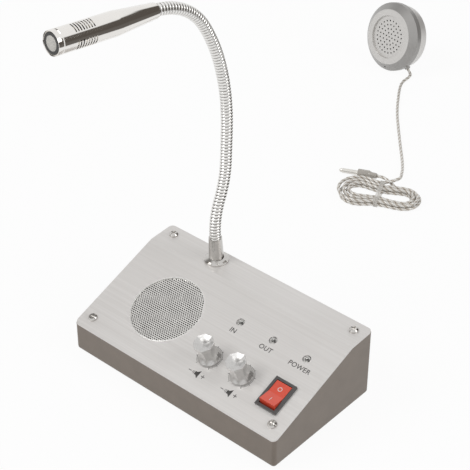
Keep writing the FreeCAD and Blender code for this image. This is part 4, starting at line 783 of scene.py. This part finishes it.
# Microphone: a chromed tube with four rows of eight slots, a black front ring, and
# grey foam over the capsule.
mic_way = Vector((-0.08646, -0.99291, 0.08158))
mic_turn = Matrix((neck_axis, mic_way.cross(neck_axis), mic_way)).transposed().to_4x4()
MIC = Matrix.Translation((-0.037107, -0.008862, 0.235067)) @ mic_turn
barrel_radius, barrel_wall, barrel_steps = 0.00694, 0.0009, 180
slot_half, slot_turn, slot_reach = 0.0004, 70, 27
slot_rows = [0.0565 - 0.0017 * row for row in range(8)][::-1]
barrel_outline = [(0.0043, 0.0), (0.00445, 0.00035), (0.0069, 0.0280), (barrel_radius, 0.0284)]
barrel_outline += [(barrel_radius, height + edge) for height in slot_rows for edge in (-slot_half, slot_half)]
barrel_outline += [(barrel_radius, 0.0652), (0.0068, 0.0654), (0.00662, 0.0656), (0.00662, 0.0660),
                   (barrel_radius, 0.0662), (barrel_radius, 0.0686), (0.00685, 0.0689), (0.0066, 0.0690)]
shape = bmesh.new()
angles = [math.radians(2 * step) for step in range(barrel_steps)]
rings = [[shape.verts.new((radius * math.cos(angle), radius * math.sin(angle), height)) for angle in angles]
         for radius, height in barrel_outline]
for index in range(len(rings) - 1):
    one, two = rings[index], rings[index + 1]
    middle = (barrel_outline[index][1] + barrel_outline[index + 1][1]) / 2
    slotted = any(abs(middle - height) < slot_half for height in slot_rows)
    for step in range(barrel_steps):
        angle = (2 * step + 1 - slot_turn) % 90
        if slotted and min(angle, 90 - angle) < slot_reach:
            continue
        after = (step + 1) % barrel_steps
        shape.faces.new((one[step], one[after], two[after], two[step]))
bmesh.ops.recalc_face_normals(shape, faces=shape.faces)
bmesh.ops.solidify(shape, geom=shape.faces[:], thickness=barrel_wall)
for face in shape.faces:
    face.smooth = True
mesh = bpy.data.meshes.new("slotted_mic_barrel")
shape.to_mesh(mesh)
shape.free()
mesh.set_sharp_from_angle(angle=math.radians(33))
barrel = bpy.data.objects.new("slotted_mic_barrel", mesh)
bpy.context.scene.collection.objects.link(barrel)
barrel.matrix_world = MIC
chrome = grained("chrome_plate", (0.80, 0.78, 0.75), 0.10, size=500, depth=0.000004, spread=0.02, metal=1.0)
barrel.data.materials.append(chrome)
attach(barrel, "neck_8")
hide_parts("mic_barrel")
black_ring = grained("black_ring", (0.028, 0.027, 0.026), 0.35, size=500, spread=0.1)
foam_grey = grained("grey_foam", (0.60, 0.585, 0.55), 0.9, size=700, depth=0.00012, spread=0.15)
wear(black_ring, "mic_front_ring")
wear(foam_grey, "mic_foam")

# Outside unit: a short round moulding in pale grey plastic, with a flat front, a
# pierced speaker field and a small microphone hole. Three screws close its back.
unit_tone = (0.66, 0.645, 0.625)
unit_look = {"size": 450, "depth": 0.000008, "spread": 0.02, "metal": 0.45}
unit_grey = grained("pale_grey_moulding", unit_tone, 0.34, **unit_look)
wear(unit_grey, "unit_rear_housing", "unit_back_plate", "unit_grille")

# Front shell of the outside unit: the same moulding, whose flat front stays pale while its bevel and side
# get painted shade: past a radius from the unit's axis, their colour is multiplied darker.
shell_grey_painted_shade = grained("pale_grey_painted_bevel_shade", unit_tone, 0.34, **unit_look)
UNIT_MIDDLE, UNIT_AXIS = (-0.15069, 0.37325, 0.02846), (-0.16662, -0.94495, 0.28160)
flat_radius, bevel_radius = 0.0220, 0.0223
tree = shell_grey_painted_shade.node_tree
shader, add, join = tree.nodes["Principled BSDF"], adder(tree), tree.links.new
plain = shader.inputs["Base Color"].links[0].from_socket
here = add("NewGeometry")
inward = add("VectorMath", operation="SUBTRACT")
inward.inputs[1].default_value = UNIT_MIDDLE
sideways = add("VectorMath", operation="CROSS_PRODUCT")
sideways.inputs[1].default_value = UNIT_AXIS
from_axis = add("VectorMath", operation="LENGTH")
edge = add("MapRange")
edge.inputs["From Min"].default_value = flat_radius
edge.inputs["From Max"].default_value = bevel_radius
# Painted shade: multiplies the colour of the bevel and side darker.
darker = add("Mix", data_type="RGBA", blend_type="MULTIPLY")
darker.inputs["B"].default_value = (0.56, 0.56, 0.56, 1)
join(here.outputs["Position"], inward.inputs[0])
join(inward.outputs["Vector"], sideways.inputs[0])
join(sideways.outputs["Vector"], from_axis.inputs[0])
join(from_axis.outputs["Value"], edge.inputs["Value"])
join(edge.outputs["Result"], darker.inputs["Factor"])
join(plain, darker.inputs["A"])
join(darker.outputs["Result"], shader.inputs["Base Color"])
wear(shell_grey_painted_shade, "unit_front_shell")

# Desk and studio: a white floor that shows as plain white to the camera and keeps a faint shadow,
# a white surround, painted dark reflections that only glossy rays see on both, and two lamps.
def seen_rays(add, join):
    """The light-path node, and 1 for rays that the camera sees, also mirrored or through clear plastic."""
    rays = add("LightPath")
    seen = add("Math", operation="MAXIMUM")
    seen_too = add("Math", operation="MAXIMUM")
    join(rays.outputs["Is Camera Ray"], seen.inputs[0])
    join(rays.outputs["Is Glossy Ray"], seen.inputs[1])
    join(seen.outputs[0], seen_too.inputs[0])
    join(rays.outputs["Is Transmission Ray"], seen_too.inputs[1])
    return rays, seen_too.outputs[0]


desk_reach, desk_level = 6, -0.0003
dark_reflection_way, reflection_only_dark = (0.76, 0.65, 0), (0.105, 0.092, 0.080, 1)
desk = bpy.data.objects.new("desk", bpy.data.meshes.new("desk"))
desk_corners = [(across * desk_reach, along * desk_reach, desk_level)
                for across, along in ((-1, -1), (1, -1), (1, 1), (-1, 1))]
desk.data.from_pydata(desk_corners, [], [(0, 1, 2, 3)])
bpy.context.scene.collection.objects.link(desk)
white, shader, add, join = finish("white_desk")
shader.inputs["Base Color"].default_value = (0.93, 0.93, 0.93, 1)
shader.inputs["Roughness"].default_value = 0.9
rays, seen = seen_rays(add, join)
share = add("Math", operation="MULTIPLY")
share.inputs[1].default_value = 0.94
glow = add("Emission", Color=(1, 1, 1, 1), Strength=1.0)
mixed = add("MixShader")
out = white.node_tree.nodes["Material Output"]
join(seen, share.inputs[0])
join(share.outputs[0], mixed.inputs["Fac"])
join(shader.outputs["BSDF"], mixed.inputs[1])
join(glow.outputs["Emission"], mixed.inputs[2])
join(mixed.outputs["Shader"], out.inputs["Surface"])
# Painted reflection: for glossy rays the floor turns dark beyond a line towards the back right.
here = add("NewGeometry")
outward = add("VectorMath", operation="DOT_PRODUCT")
outward.inputs[1].default_value = dark_reflection_way
beyond = add("MapRange")
beyond.inputs["From Min"].default_value = 0.36
beyond.inputs["From Max"].default_value = 0.42
glossy_beyond = add("Math", operation="MULTIPLY")
floor_reflection_colour = add("Mix", data_type="RGBA")
floor_reflection_colour.inputs["A"].default_value = (1, 1, 1, 1)
floor_reflection_colour.inputs["B"].default_value = reflection_only_dark
join(here.outputs["Position"], outward.inputs[0])
join(outward.outputs["Value"], beyond.inputs["Value"])
join(beyond.outputs["Result"], glossy_beyond.inputs[0])
join(rays.outputs["Is Glossy Ray"], glossy_beyond.inputs[1])
join(glossy_beyond.outputs[0], floor_reflection_colour.inputs["Factor"])
join(floor_reflection_colour.outputs["Result"], glow.inputs["Color"])
desk.data.materials.append(white)

world = bpy.data.worlds.new("white_surround")
bpy.context.scene.world = world
world.use_nodes = True
tree = world.node_tree
background = tree.nodes["Background"]
add, join = adder(tree), tree.links.new
rays, seen = seen_rays(add, join)
level = add("MapRange")
level.inputs["To Min"].default_value = 0.42
level.inputs["To Max"].default_value = 1.0
join(seen, level.inputs["Value"])
join(level.outputs["Result"], background.inputs["Strength"])
toward = add("TexCoord")


def region(aim, least, most):
    """How far a direction lies inside the cone round the aim, between two cosines."""
    dot = add("VectorMath", operation="DOT_PRODUCT")
    dot.inputs[1].default_value = aim
    ramp = add("MapRange")
    ramp.inputs["From Min"].default_value = least
    ramp.inputs["From Max"].default_value = most
    join(toward.outputs["Generated"], dot.inputs[0])
    join(dot.outputs["Value"], ramp.inputs["Value"])
    return ramp.outputs["Result"]


def worked(operation, one, two):
    """One sum on two values of the surround."""
    node = add("Math", operation=operation)
    for socket, value in zip(node.inputs, (one, two)):
        if isinstance(value, float):
            socket.default_value = value
        else:
            join(value, socket)
    return node.outputs[0]


# Painted reflections: for glossy rays only, the surround turns dark low down towards the back right and in a
# patch high at the front left.
dark_reflection_side = worked("MULTIPLY", region(dark_reflection_way, 0.50, 0.60), region((0, 0, -1), -0.56, -0.51))
dark_reflection_above = worked("MULTIPLY", region((-0.69, -0.32, 0.64), 0.86, 0.94), 0.85)
painted_reflection_share = worked("MULTIPLY", worked("MAXIMUM", dark_reflection_side, dark_reflection_above), rays.outputs["Is Glossy Ray"])
tint = add("Mix", data_type="RGBA")
tint.inputs["A"].default_value = (1, 1, 1, 1)
tint.inputs["B"].default_value = reflection_only_dark
join(painted_reflection_share, tint.inputs["Factor"])
join(tint.outputs["Result"], background.inputs["Color"])


def soft_lamp(name, spot, aim, size, watts):
    """Adds a square soft lamp that faces the aim."""
    data = bpy.data.lights.new(name, "AREA")
    data.shape = "SQUARE"
    data.size = size
    data.energy = watts
    lamp = bpy.data.objects.new(name, data)
    bpy.context.scene.collection.objects.link(lamp)
    lamp.location = spot
    lamp.rotation_euler = (Vector(aim) - Vector(spot)).to_track_quat("-Z", "Y").to_euler()


lamp_aim = (0, 0.05, 0.05)
soft_lamp("key_lamp", (-0.9, -1.3, 1.7), lamp_aim, 1.1, 17)
soft_lamp("side_lamp", (1.6, 0.4, 1.3), lamp_aim, 1.0, 9)
